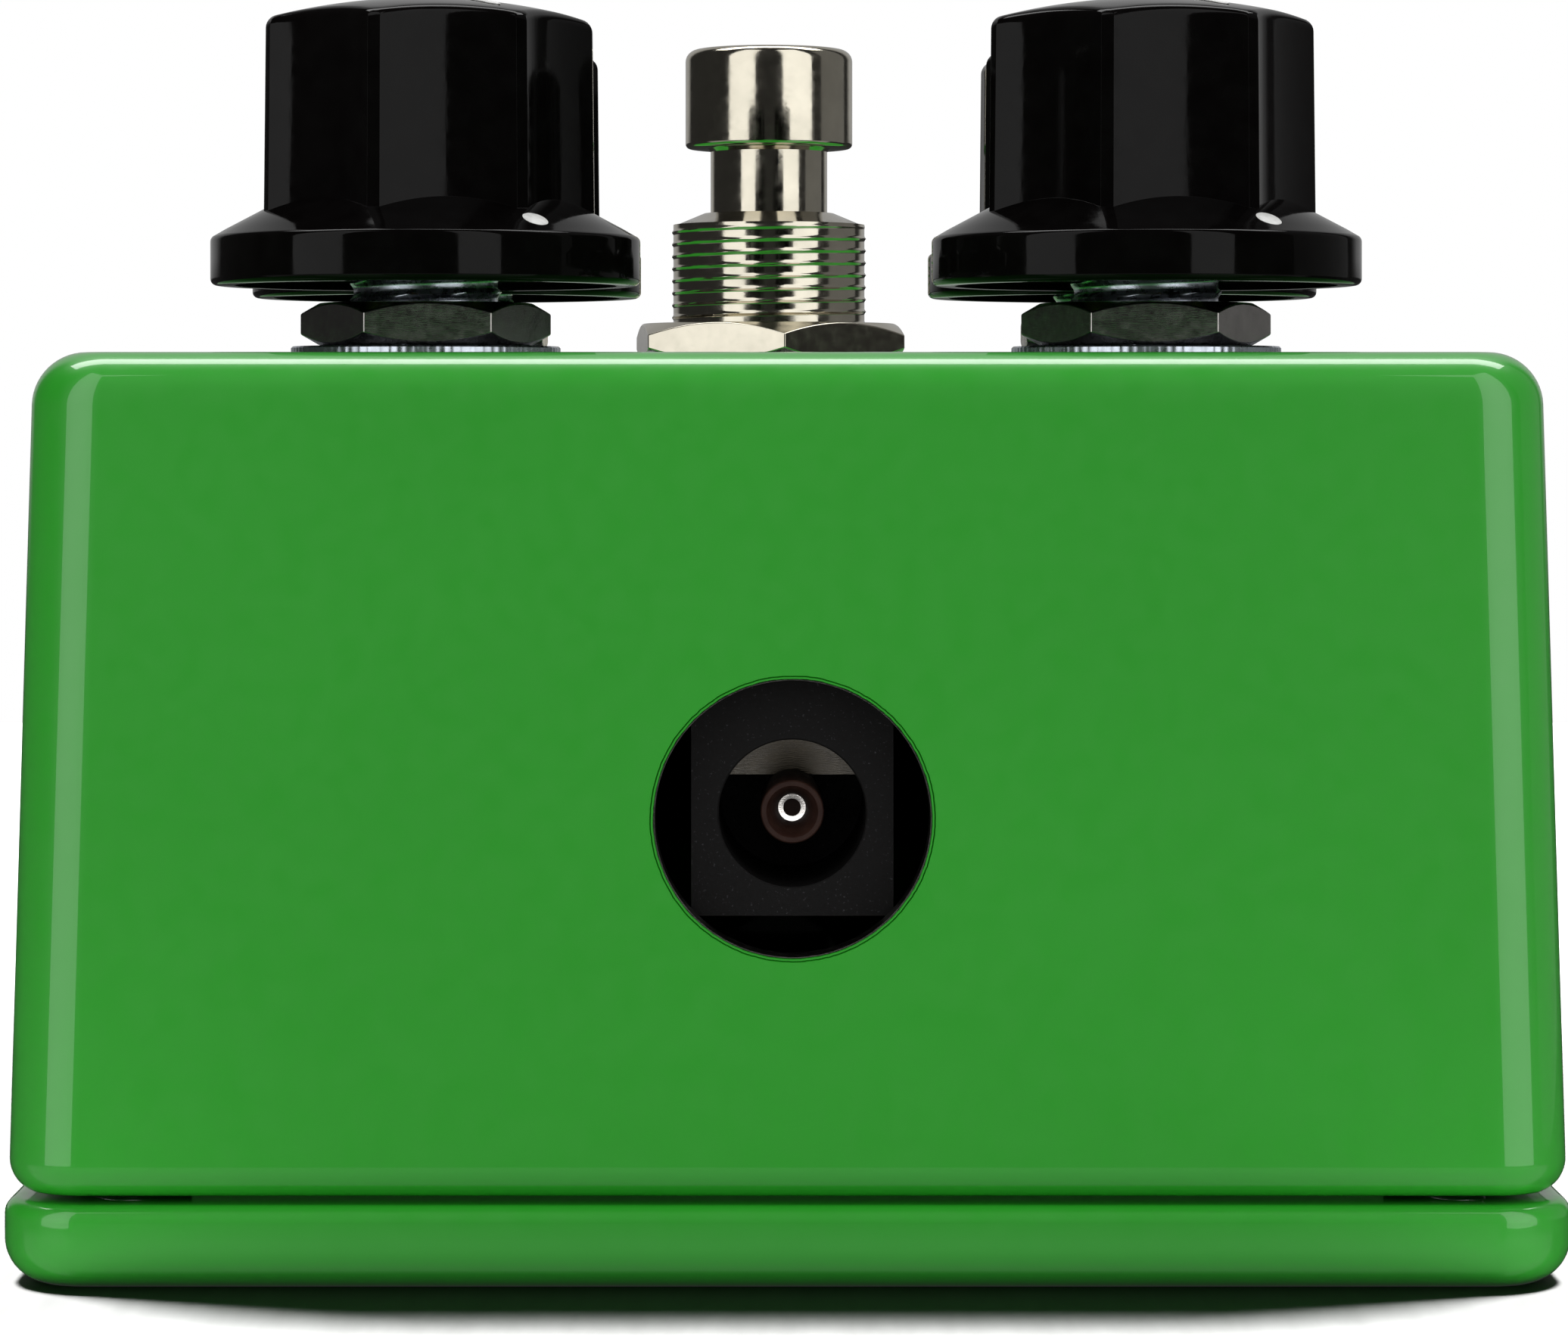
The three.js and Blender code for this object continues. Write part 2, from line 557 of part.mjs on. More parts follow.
const powerSocket = groupAt(pedal, POWER.x, POWER_BODY_FACE_Y, SOCKET_Z);
piece(powerSocket, 'power_socket_body', powerBody(), MATERIALS.blackPlastic);
piece(powerSocket, 'power_socket_pin', powerPin(), MATERIALS.darkNickel);
piece(powerSocket, 'power_socket_contact', powerContact(), MATERIALS.darkNickel);

// ---- Electronics ----

// A 5 mm light on two legs, its dome just through the top face.
function indicatorLight() {
  const base = TOP - 8.3;
  const domeCentre = TOP + 0.3 - LED.radius;
  const lens = turned([
    [0, base], [LED.radius + 0.4, base], [LED.radius + 0.4, base + 1], [LED.radius, base + 1],
    ...arc(0, domeCentre, LED.radius, 0, 90, 3),
  ], 12);
  const legs = [-1.27, 1.27].map((x) =>
    block([x - 0.25, x + 0.25], [-0.25, 0.25], [BOARD_TOP + CONTACT, base + 0.5]));
  return join(lens, ...legs).translate(0, LED.y, 0);
}

// An eight-pin chip on the board: body and two rows of legs.
function amplifierChip() {
  const standOff = BOARD_TOP + CONTACT;
  const pitch = 2.54;
  const body = block([-3.2, 3.2], [-4.8, 4.8], [standOff + 0.6, standOff + 3.9]);
  const legs = [-1.5, -0.5, 0.5, 1.5].map((step) =>
    block([-3.9, 3.9], [step * pitch - 0.3, step * pitch + 0.3], [standOff, standOff + 1.8]));
  return join(body, ...legs);
}

const capacitor = () => turned([
  [0, 0], [3.1, 0], [3.1, 0.9], [2.9, 1.2], [3.1, 1.5], [3.1, 6.7], [2.8, 7], [0, 7],
], 12).translate(0, 0, BOARD_TOP + CONTACT);

// The flat cable between the boards, laid as a strip with two bends.
function boardRibbon() {
  const halfWidth = 4;
  const thickness = 0.8;
  const from = new THREE.Vector2(BOARD.y1 + CLEAR, BOARD.under + 0.4);
  const to = new THREE.Vector2(SWITCH.y - SWITCH_BOARD.half - CLEAR, SWITCH_BOARD.under + 0.4);
  const middle = (from.x + to.x) / 2;
  const outline = new THREE.Shape();
  outline.moveTo(from.x, from.y);
  outline.bezierCurveTo(middle, from.y, middle, to.y, to.x, to.y);
  outline.lineTo(to.x, to.y + thickness);
  outline.bezierCurveTo(middle + thickness, to.y + thickness, middle + thickness,
    from.y + thickness, from.x, from.y + thickness);
  return new THREE.ExtrudeGeometry(outline, {
    depth: 2 * halfWidth, bevelEnabled: false, curveSegments: 10,
  }).translate(0, 0, -halfWidth).rotateY(Math.PI / 2).rotateX(Math.PI / 2);
}

piece(pedal, 'indicator_light', indicatorLight(), MATERIALS.ledEpoxy);
piece(pedal, 'main_board',
  block([-BOARD.halfX, BOARD.halfX], [BOARD.y0, BOARD.y1], [BOARD.under, BOARD_TOP]), MATERIALS.board);
piece(groupAt(pedal, 0, -28, 0), 'amplifier_chip', amplifierChip(), MATERIALS.blackPlastic);
piece(groupAt(pedal, -3.6, -14, 0), 'capacitor_1', capacitor(), MATERIALS.blackPlastic);
piece(groupAt(pedal, 3.6, -14, 0), 'capacitor_2', capacitor(), MATERIALS.blackPlastic);
piece(groupAt(pedal, SWITCH.x, SWITCH.y, 0), 'switch_board',
  block([-SWITCH_BOARD.half, SWITCH_BOARD.half], [-SWITCH_BOARD.half, SWITCH_BOARD.half],
    [SWITCH_BOARD.under, SWITCH_BOARD.under + SWITCH_BOARD.thickness]), MATERIALS.board);
piece(pedal, 'board_ribbon', boardRibbon(), MATERIALS.ribbon);

export default pedal;
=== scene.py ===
"""Guitar effects pedal: the looks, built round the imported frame.

The object stands at the origin, +Z up, and -Y is the end wall with the power inlet.
Lengths are in millimetres here, and MM turns them into metres as a mesh is made.
"""

import json
import math
import random

import bmesh
import bpy
from mathutils import Matrix, Vector


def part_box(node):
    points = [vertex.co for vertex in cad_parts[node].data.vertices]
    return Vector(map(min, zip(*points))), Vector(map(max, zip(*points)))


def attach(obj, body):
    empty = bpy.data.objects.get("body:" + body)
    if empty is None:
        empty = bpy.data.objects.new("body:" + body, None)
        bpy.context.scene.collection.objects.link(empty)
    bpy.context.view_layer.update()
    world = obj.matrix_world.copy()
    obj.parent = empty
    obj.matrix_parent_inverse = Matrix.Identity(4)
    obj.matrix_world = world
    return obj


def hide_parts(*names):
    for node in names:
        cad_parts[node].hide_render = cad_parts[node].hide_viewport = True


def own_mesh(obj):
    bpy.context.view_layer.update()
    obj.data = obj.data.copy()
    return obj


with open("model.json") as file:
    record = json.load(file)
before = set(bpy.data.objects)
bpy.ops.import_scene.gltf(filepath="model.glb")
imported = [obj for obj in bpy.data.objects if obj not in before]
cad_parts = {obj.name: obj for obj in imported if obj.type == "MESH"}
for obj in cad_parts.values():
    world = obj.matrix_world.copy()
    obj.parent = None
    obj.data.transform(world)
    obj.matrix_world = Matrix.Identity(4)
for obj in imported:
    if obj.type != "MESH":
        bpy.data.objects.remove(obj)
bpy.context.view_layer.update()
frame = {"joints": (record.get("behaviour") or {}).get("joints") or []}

MM = 0.001
TAU = 2 * math.pi
random.seed(7)

# ---------------------------------------------------------------- places from the frame


def box_of(node):
    """The two corners of a CAD node's box, in millimetres."""
    low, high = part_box(node)
    return low / MM, high / MM


def centre_of(node):
    low, high = box_of(node)
    return (low + high) / 2


PLATE_LOW, PLATE_HIGH = box_of("base_plate")
SHELL_LOW, SHELL_HIGH = box_of("enclosure_shell")
TOP = SHELL_HIGH.z
SHELL_UNDER = SHELL_LOW.z
CORNER = 3.6                   # plan radius of the base plate's corners
SHELL_CORNER = CORNER - (PLATE_HIGH.x - SHELL_HIGH.x)
WALL = 2.3
PLATE = 3.6
LEAN = math.radians(1.45)      # the shell's walls lean in by this
CEILING = TOP - WALL

KNOBS = ("front_left", "front_right", "rear_left", "rear_right")
JOINTS = {joint["name"]: joint for joint in frame["joints"]}
POWER = centre_of("power_socket_pin")
POWER_FACE_Y = box_of("power_socket_body")[0].y
SWITCH = centre_of("footswitch_button")
LIGHT = centre_of("indicator_light")


def foot_of(node):
    """Puts a piece made on z = 0 where a CAD node's underside is, at its middle."""
    low, _ = box_of(node)
    middle = centre_of(node)
    return at(middle.x, middle.y, low.z)


def lean_at(z):
    """How far the shell's walls have leant in at height z."""
    return (z - SHELL_UNDER) * math.tan(LEAN)


def at(x, y, z):
    return Matrix.Translation(Vector((x, y, z)) * MM)


def pot_place(name):
    """Puts a piece made round +Z with z = 0 at the top face onto a knob's axis."""
    x, y, _ = JOINTS[f"knob_{name}_turn"]["pos_m"]
    return at(x / MM, y / MM, TOP)


def knob_place(name):
    """The same, with the pointer turned to where it is at rest."""
    low, high = JOINTS[f"knob_{name}_turn"]["range_deg"]
    return pot_place(name) @ Matrix.Rotation(math.radians(-(low + high) / 2), 4, "Z")


ALONG_X = Matrix.Rotation(math.pi / 2, 4, "Y")       # made along +Z, laid along +X
INTO_Y = Matrix.Rotation(-math.pi / 2, 4, "X")       # made along +Z, laid along +Y

# ---------------------------------------------------------------- mesh building


def new_object(name, bm, smooth_angle=35):
    """Keeps the mesh, with edges sharper than smooth_angle left crisp."""
    bmesh.ops.recalc_face_normals(bm, faces=bm.faces)
    mesh = bpy.data.meshes.new(name)
    bm.to_mesh(mesh)
    bm.free()
    for polygon in mesh.polygons:
        polygon.use_smooth = True
    mesh.set_sharp_from_angle(angle=math.radians(smooth_angle))
    obj = bpy.data.objects.new(name, mesh)
    bpy.context.scene.collection.objects.link(obj)
    return obj


def loft(name, rings, place=Matrix(), loop=False, smooth_angle=35):
    """A closed surface through rings of points. A ring of one point is a pole, and a loop has no ends."""
    bm = bmesh.new()
    rows = [[bm.verts.new(place @ (Vector(point) * MM)) for point in ring] for ring in rings]
    pairs = list(zip(rows, rows[1:]))
    if loop:
        pairs.append((rows[-1], rows[0]))
    for lower, upper in pairs:
        count = max(len(lower), len(upper))
        for i in range(count):
            j = (i + 1) % count
            corners = [lower[i % len(lower)], lower[j % len(lower)],
                       upper[j % len(upper)], upper[i % len(upper)]]
            bm.faces.new(list(dict.fromkeys(corners)))
    for end in (rows[0], rows[-1]):
        if not loop and len(end) > 2:
            bm.faces.new(end)
    return new_object(name, bm, smooth_angle)


def polar(radius, angle, z):
    return (radius * math.cos(angle), radius * math.sin(angle), z)


def uneven_circle(radii, z):
    """A ring of points round +Z, with a radius for each."""
    return [polar(radius, TAU * i / len(radii), z) for i, radius in enumerate(radii)]


def circle(radius, z, sides):
    """A ring of points round +Z. Radius 0 gives one point."""
    return uneven_circle([radius] * sides, z) if radius else [(0, 0, z)]


def lathe(name, profile, place=Matrix(), sides=64, loop=False):
    """Turns a profile of (radius, z). It starts and ends on the axis, or goes round as a loop."""
    return loft(name, [circle(radius, z, sides) for radius, z in profile], place, loop)


def arc(centre_r, centre_z, radius, start, end, steps):
    """Points on an arc in a profile, with angles in degrees from the radius axis."""
    points = []
    for step in range(steps + 1):
        angle = math.radians(start + (end - start) * step / steps)
        points.append((centre_r + radius * math.cos(angle), centre_z + radius * math.sin(angle)))
    return points


def rounded_ring(half_x, half_y, radius, z, steps=16):
    """A ring round a rectangle whose corners turn about fixed centres. A None radius is the middle."""
    if radius is None:
        return [(0, 0, z)]
    ring = []
    for quarter, (side_x, side_y) in enumerate(((1, 1), (-1, 1), (-1, -1), (1, -1))):
        for step in range(steps + 1):
            angle = math.pi / 2 * (quarter + step / steps)
            ring.append((side_x * half_x + radius * math.cos(angle),
                         side_y * half_y + radius * math.sin(angle), z))
    return ring


def block(name, low, high, place=Matrix(), bevel=0.15):
    """A box between two corners, with its edges rounded a little."""
    bm = bmesh.new()
    bmesh.ops.create_cube(bm, size=1)
    middle = (Vector(low) + Vector(high)) / 2
    size = Vector(high) - Vector(low)
    for vert in bm.verts:
        vert.co = place @ ((vert.co * size + middle) * MM)
    obj = new_object(name, bm)
    return rounded_edges(obj, bevel) if bevel else obj


def rounded_edges(obj, width, segments=2, angle=35):
    """Rounds the sharp edges, keeping flat faces flat in the shading."""
    bevel = obj.modifiers.new("rounded edges", "BEVEL")
    bevel.width = width * MM
    bevel.segments = segments
    bevel.limit_method = "ANGLE"
    bevel.angle_limit = math.radians(angle)
    bevel.use_clamp_overlap = True
    bevel.harden_normals = True
    return obj


def apply_modifiers(obj):
    bpy.context.view_layer.update()
    graph = bpy.context.evaluated_depsgraph_get()
    mesh = bpy.data.meshes.new_from_object(obj.evaluated_get(graph), depsgraph=graph)
    old = obj.data
    obj.modifiers.clear()
    obj.data = mesh
    bpy.data.meshes.remove(old)
    return obj


def boolean(obj, tools, operation="DIFFERENCE"):
    """Cuts the tools out of obj, or joins them to it, and deletes them."""
    for tool in tools:
        modifier = obj.modifiers.new(operation.lower(), "BOOLEAN")
        modifier.operation = operation
        modifier.solver = "EXACT"
        modifier.object = tool
    apply_modifiers(obj)
    for tool in tools:
        bpy.data.objects.remove(tool)
    obj.data.set_sharp_from_angle(angle=math.radians(35))
    return obj


def merged(name, parts):
    """Several meshes as one object."""
    bm = bmesh.new()
    for part in parts:
        apply_modifiers(part)
        bm.from_mesh(part.data)
        bpy.data.objects.remove(part)
    return new_object(name, bm)


def rod(radius, z0, z1, place=Matrix(), sides=48, name="rod"):
    return lathe(name, [(0, z0), (radius, z0), (radius, z1), (0, z1)], place, sides)


def triangle_wave(turns):
    """0 at whole numbers, 1 half way between them."""
    return 1 - abs(2 * (turns % 1) - 1)


def thread_rings(radius, pitch, depth, z0, z1, sides, per_turn=8, crest=0.0):
    """Rings whose radius follows a helical V thread, running out at both ends.

    crest is the share of the pitch that is left flat.
    """
    count = round((z1 - z0) / pitch * per_turn)
    rings = []
    for k in range(count + 1):
        z = z0 + (z1 - z0) * k / count
        fade = min(1, (z - z0) / (0.6 * pitch), (z1 - z) / (0.6 * pitch))
        grooves = [min(1, triangle_wave(z / pitch - i / sides) / (1 - crest)) for i in range(sides)]
        rings.append(uneven_circle([radius - depth * (1 - fade * (1 - groove)) for groove in grooves], z))
    return rings


def hex_nut(name, across_flats, hole, z0, z1, place=Matrix(), turn=0, per_side=14):
    """A hexagonal nut whose corners are turned down by a cone at both ends."""
    chamfer_from = across_flats / 2 - 0.12
    slope = math.tan(math.radians(30))
    lead_in = 0.35
    columns = []
    for i in range(6 * per_side):
        angle = TAU * i / (6 * per_side) + turn
        off_flat = (i % per_side) / per_side * TAU / 6 - TAU / 12
        corner = across_flats / 2 / math.cos(off_flat)
        face = min(chamfer_from, corner)
        drop = max(0, corner - chamfer_from) * slope
        columns.append([polar(r, angle, z) for r, z in (
            (hole, z0 + lead_in), (hole + lead_in, z0), (face, z0), (corner, z0 + drop),
            (corner, z1 - drop), (face, z1), (hole + lead_in, z1), (hole, z1 - lead_in),
        )])
    nut = loft(name, list(zip(*columns)), place, loop=True, smooth_angle=20)
    return rounded_edges(nut, 0.07, angle=20)


def serrated_washer(name, inner, outer, z0, z1, place=Matrix(), teeth=90):
    """A flat washer whose rim carries fine vertical serrations."""
    edge = 0.08

    def ring(radius, z, depth):
        dips = [depth * (0.5 + 0.5 * math.cos(TAU * i / 4)) for i in range(4 * teeth)]
        return uneven_circle([radius - dip for dip in dips], z)

    return loft(name, [
        ring(inner, z0, 0), ring(outer - edge, z0, 0), ring(outer, z0 + edge, 0.025),
        ring(outer, z1 - edge, 0.025), ring(outer - edge, z1, 0), ring(inner, z1, 0),
    ], place, loop=True)


# ---------------------------------------------------------------- materials


def map_range(tree, source, start, end, low, high):
    """A node that gives the source's start to end as low to high."""
    node = tree.nodes.new("ShaderNodeMapRange")
    for socket, number in (("From Min", start), ("From Max", end), ("To Min", low), ("To Max", high)):
        node.inputs[socket].default_value = number
    tree.links.new(source, node.inputs["Value"])
    return node.outputs["Result"]


class Finish:
    """A Principled material, with shorthand for the nodes that vary it.

    Texture scales are per metre of the object, so 1000 gives features about a millimetre across.
    """

    def __init__(self, name, **constants):
        self.material = bpy.data.materials.new(name)
        self.material.use_nodes = True
        self.tree = self.material.node_tree
        self.shader = self.tree.nodes["Principled BSDF"]
        self.place = self.tree.nodes.new("ShaderNodeTexCoord").outputs["Object"]
        for socket, value in constants.items():
            socket = socket.replace("_", " ").title().replace("Ior", "IOR")
            self.shader.inputs[socket].default_value = value
        self.normal = None

    def node(self, kind):
        return self.tree.nodes.new(kind)

    def link(self, source, target):
        self.tree.links.new(source, target)

    def noise(self, scale, detail, stretch=(1, 1, 1)):
        """Noise, closer together along the axes that are stretched."""
        mapping = self.node("ShaderNodeMapping")
        mapping.inputs["Scale"].default_value = stretch
        self.link(self.place, mapping.inputs["Vector"])
        noise = self.node("ShaderNodeTexNoise")
        noise.inputs["Scale"].default_value = scale
        noise.inputs["Detail"].default_value = detail
        self.link(mapping.outputs["Vector"], noise.inputs["Vector"])
        return noise.outputs["Fac"]

    def bands(self, scale, distortion):
        """Winding bands along X."""
        bands = self.node("ShaderNodeTexWave")
        bands.inputs["Scale"].default_value = scale
        bands.inputs["Distortion"].default_value = distortion
        self.link(self.place, bands.inputs["Vector"])
        return bands.outputs["Fac"]

    def colours(self, source, first, second, start=0.3, end=0.7):
        """Base colour from the first shade, where the source is at its start, to the second."""
        ramp = self.node("ShaderNodeValToRGB")
        stops = ((start, first), (end, second))
        for element, (position, colour) in zip(ramp.color_ramp.elements, stops):
            element.position = position
            element.color = (*colour, 1)
        self.link(source, ramp.inputs["Fac"])
        self.link(ramp.outputs["Color"], self.shader.inputs["Base Color"])

    def roughness(self, source, low, high):
        self.link(map_range(self.tree, source, 0.3, 0.7, low, high), self.shader.inputs["Roughness"])

    def bump(self, source, height):
        """Raises the surface by up to height millimetres with the source."""
        bump = self.node("ShaderNodeBump")
        bump.inputs["Distance"].default_value = height * MM
        self.link(source, bump.inputs["Height"])
        if self.normal:
            self.link(self.normal, bump.inputs["Normal"])
        self.normal = bump.outputs["Normal"]
        self.link(self.normal, self.shader.inputs["Normal"])


def green_enamel():
    """Gloss paint, baked smooth: a slow change of shade, and the faintest orange peel in the gloss."""
    paint = Finish("green_enamel", coat_weight=1.0, coat_roughness=0.02)
    paint.colours(paint.noise(60, 4), (0.023, 0.357, 0.019), (0.025, 0.373, 0.021))
    paint.roughness(paint.noise(900, 2), 0.32, 0.4)
    paint.bump(paint.noise(300, 1), 0.0005)
    return paint.material


def knob_plastic():
    """Glossy black phenolic, with hairline polishing marks and a little dust in its gloss."""
    plastic = Finish("knob_plastic", specular_ior_level=0.115)
    plastic.colours(plastic.noise(800, 4), (0.0025, 0.002, 0.002), (0.004, 0.0035, 0.0035), 0.35)
    plastic.roughness(plastic.noise(1500, 4), 0.04, 0.1)
    plastic.bump(plastic.noise(2500, 2, (1, 1, 0.2)), 0.0015)
    return plastic.material


def black_moulding():
    """Matt black thermoplastic with a fine moulded grain and pale specks."""
    plastic = Finish("black_moulding", specular_ior_level=0.2)
    plastic.colours(plastic.noise(9000, 2), (0.0045, 0.0042, 0.0042), (0.05, 0.05, 0.055), 0.66, 0.8)
    plastic.roughness(plastic.noise(4000, 3), 0.42, 0.62)
    plastic.bump(plastic.noise(7000, 3), 0.01)
    return plastic.material


def black_sleeve():
    """A capacitor's shrunk sleeve: satin, with slow ripples."""
    sleeve = Finish("black_sleeve", coat_weight=0.3)
    sleeve.colours(sleeve.noise(500, 3), (0.010, 0.010, 0.014), (0.02, 0.02, 0.026))
    sleeve.roughness(sleeve.noise(1500, 3), 0.24, 0.4)
    sleeve.bump(sleeve.noise(900, 2, (1, 1, 0.4)), 0.015)
    return sleeve.material


def metal(name, colour, roughness, spread, grain, scratches=0.0):
    """Plated metal whose shade and polish vary, with fine tool marks where it has scratches."""
    finish = Finish(name, metallic=1)
    darker = tuple(channel * 0.86 for channel in colour)
    finish.colours(finish.noise(grain / 3, 4), darker, colour)
    finish.roughness(finish.noise(grain, 4), roughness - spread, roughness + spread)
    finish.bump(finish.noise(grain * 2, 3), 0.002)
    if scratches:
        finish.bump(finish.noise(grain, 6, (1, 1, 12)), scratches)
    return finish.material


def circuit_board():
    """Green solder mask over copper tracks on glass cloth."""
    board = Finish("circuit_board", coat_weight=0.4)
    tracks = map_range(board.tree, board.bands(200, 6), 0.55, 0.6, 0, 1)
    board.colours(tracks, (0.006, 0.06, 0.02), (0.014, 0.13, 0.045), 0, 1)
    board.roughness(board.noise(3000, 3), 0.3, 0.45)
    board.bump(tracks, 0.03)
    return board.material


def light_epoxy():
    """Water-clear epoxy, faintly cloudy inside."""
    epoxy = Finish("light_epoxy", transmission_weight=0.6, ior=1.53)
    epoxy.colours(epoxy.noise(600, 3), (0.80, 0.84, 0.86), (0.92, 0.94, 0.95))
    epoxy.roughness(epoxy.noise(1200, 2), 0.04, 0.12)
    epoxy.bump(epoxy.noise(500, 1), 0.003)
    return epoxy.material


def ribbon_insulation():
    """Grey vinyl, dull, with a fine drawn grain."""
    vinyl = Finish("ribbon_insulation")
    vinyl.colours(vinyl.noise(900, 4), (0.24, 0.25, 0.27), (0.31, 0.32, 0.34))
    vinyl.roughness(vinyl.noise(2500, 3), 0.48, 0.65)
    vinyl.bump(vinyl.noise(3000, 2, (1, 0.2, 1)), 0.006)
    return vinyl.material


def brown_insulator():
    """Dark brown phenolic, faintly mottled."""
    phenolic = Finish("brown_insulator", specular_ior_level=0.3)
    phenolic.colours(phenolic.noise(2000, 3), (0.024, 0.009, 0.006), (0.036, 0.015, 0.010))
    phenolic.roughness(phenolic.noise(3000, 3), 0.38, 0.55)
    phenolic.bump(phenolic.noise(4000, 2), 0.003)
    return phenolic.material


def marking_paint():
    """White paint wiped into the knobs' marks: slightly uneven and dull."""
    paint = Finish("marking_paint")
    paint.colours(paint.noise(3000, 4), (0.72, 0.72, 0.70), (0.86, 0.86, 0.84), 0.3, 0.6)
    paint.roughness(paint.noise(4000, 3), 0.38, 0.6)
    paint.bump(paint.noise(5000, 3), 0.01)
    return paint.material


MATERIALS = {
    "green_enamel": green_enamel(),
    "knob_plastic": knob_plastic(),
    "black_moulding": black_moulding(),
    "black_sleeve": black_sleeve(),
    "nickel_chrome": metal("nickel_chrome", (0.62, 0.58, 0.48), 0.12, 0.05, 1500),
    "dark_nickel": metal("dark_nickel", (0.46, 0.44, 0.42), 0.2, 0.07, 2500, scratches=0.006),
    "bright_zinc": metal("bright_zinc", (0.66, 0.71, 0.80), 0.28, 0.08, 2500),
    "steel": metal("steel", (0.50, 0.50, 0.50), 0.32, 0.08, 2000),
    "brass": metal("brass", (0.72, 0.50, 0.21), 0.28, 0.08, 2000),
    "circuit_board": circuit_board(),
    "light_epoxy": light_epoxy(),
    "ribbon_insulation": ribbon_insulation(),
}
MARKING = marking_paint()
INSULATOR = brown_insulator()


def finish_piece(obj, slot, *nodes, body="housing"):
    """Gives a new piece its material and its body, and hides the CAD nodes that it stands for."""
    obj.data.materials.clear()
    obj.data.materials.append(MATERIALS[slot])
    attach(obj, body)
    if nodes:
        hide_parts(*nodes)
    return obj


# ---------------------------------------------------------------- enclosure

THROUGH = 1                    # how far a cutting tool runs past a face
BOSS_RADIUS = 3.2
SCREW_HOLE = 1.8
POT_HOLE = 3.8
SWITCH_HOLE = 6.3
AUDIO_HOLE = 5.0
POWER_HOLE = 5.79
POWER_HOLE_PLACE = (at(POWER.x, SHELL_LOW.y + lean_at(POWER.z), POWER.z)
                    @ Matrix.Rotation(-LEAN, 4, "X") @ INTO_Y)
SCREWS = [centre_of(f"base_plate_screw_{number}") for number in (1, 2, 3, 4)]
AUDIO = {name: centre_of(f"{name}_socket_bushing") for name in ("input", "output")}


def rounded_box(name, outline, inset=lambda z: CORNER):
    """Lofts a (radius, z) outline round corner centres that are inset(z) from the plate's sides."""
    return loft(name, [rounded_ring(PLATE_HIGH.x - inset(z), PLATE_HIGH.y - inset(z), radius, z)
                       for radius, z in outline])


def power_hole_tool():
    """The drilled hole: slightly uneven, with a hairline groove in the paint outside its edge."""
    wobble = [random.uniform(-0.012, 0.012) for _ in range(240)]
    groove = POWER_HOLE + 0.12
    groove_half = 0.035
    edge_depth = 0.015

    def ring(radius, depth):
        return uneven_circle([radius + part for part in wobble], depth)

    return loft("power_hole_tool", [
        ring(groove + 1, -THROUGH), ring(groove + groove_half, -0.01), ring(groove, 0.12),
        ring(groove - groove_half, edge_depth), ring(POWER_HOLE + 0.03, edge_depth),
        ring(POWER_HOLE, 0.06), ring(POWER_HOLE, WALL + 2),
    ], POWER_HOLE_PLACE)


def at_screws(make, *sizes):
    """One of what make gives at each of the four base plate screws."""
    return [make(*sizes, at(place.x, place.y, 0)) for place in SCREWS]


def keep_faces_flat(obj):
    """Stops the rounded edges' shading from bending across the flat faces."""
    weighted = obj.modifiers.new("flat faces stay flat", "WEIGHTED_NORMAL")
    weighted.keep_sharp = True
    return obj


def enclosure_shell():
    """The die-cast box: drafted walls, rounded edges, four screw bosses and its panel holes."""
    top_round = 2.2
    under_round = 1.5
    inner_corner = SHELL_CORNER - WALL
    shell = rounded_box("enclosure_shell_body", [
        (None, CEILING),
        (inner_corner, CEILING),
        (inner_corner, SHELL_UNDER + 0.2),
        (inner_corner + 0.2, SHELL_UNDER),
        *arc(SHELL_CORNER - under_round, SHELL_UNDER + 0.9 * under_round, under_round, -64, 0, 10),
        *arc(SHELL_CORNER - top_round, TOP - top_round, top_round, 0, 90, 14),
        (None, TOP),
    ], inset=lambda z: CORNER + lean_at(z))
    boolean(shell, at_screws(rod, BOSS_RADIUS, SHELL_UNDER, CEILING + 0.2), "UNION")
    holes = at_screws(rod, SCREW_HOLE, SHELL_UNDER - THROUGH, 16)
    for name in KNOBS:
        holes.append(rod(POT_HOLE, -WALL - THROUGH, THROUGH, pot_place(name)))
    for radius, spot in ((SWITCH_HOLE, SWITCH), (LIGHT_RADIUS + 0.3, LIGHT)):
        holes.append(rod(radius, CEILING - THROUGH, TOP + THROUGH, at(spot.x, spot.y, 0)))
    holes.append(rod(AUDIO_HOLE, -SHELL_HIGH.x - 5, SHELL_HIGH.x + 5,
                     at(0, AUDIO["input"].y, AUDIO["input"].z) @ ALONG_X))
    holes.append(power_hole_tool())
    boolean(shell, holes)
    finish_piece(keep_faces_flat(shell), "green_enamel", "enclosure_shell")


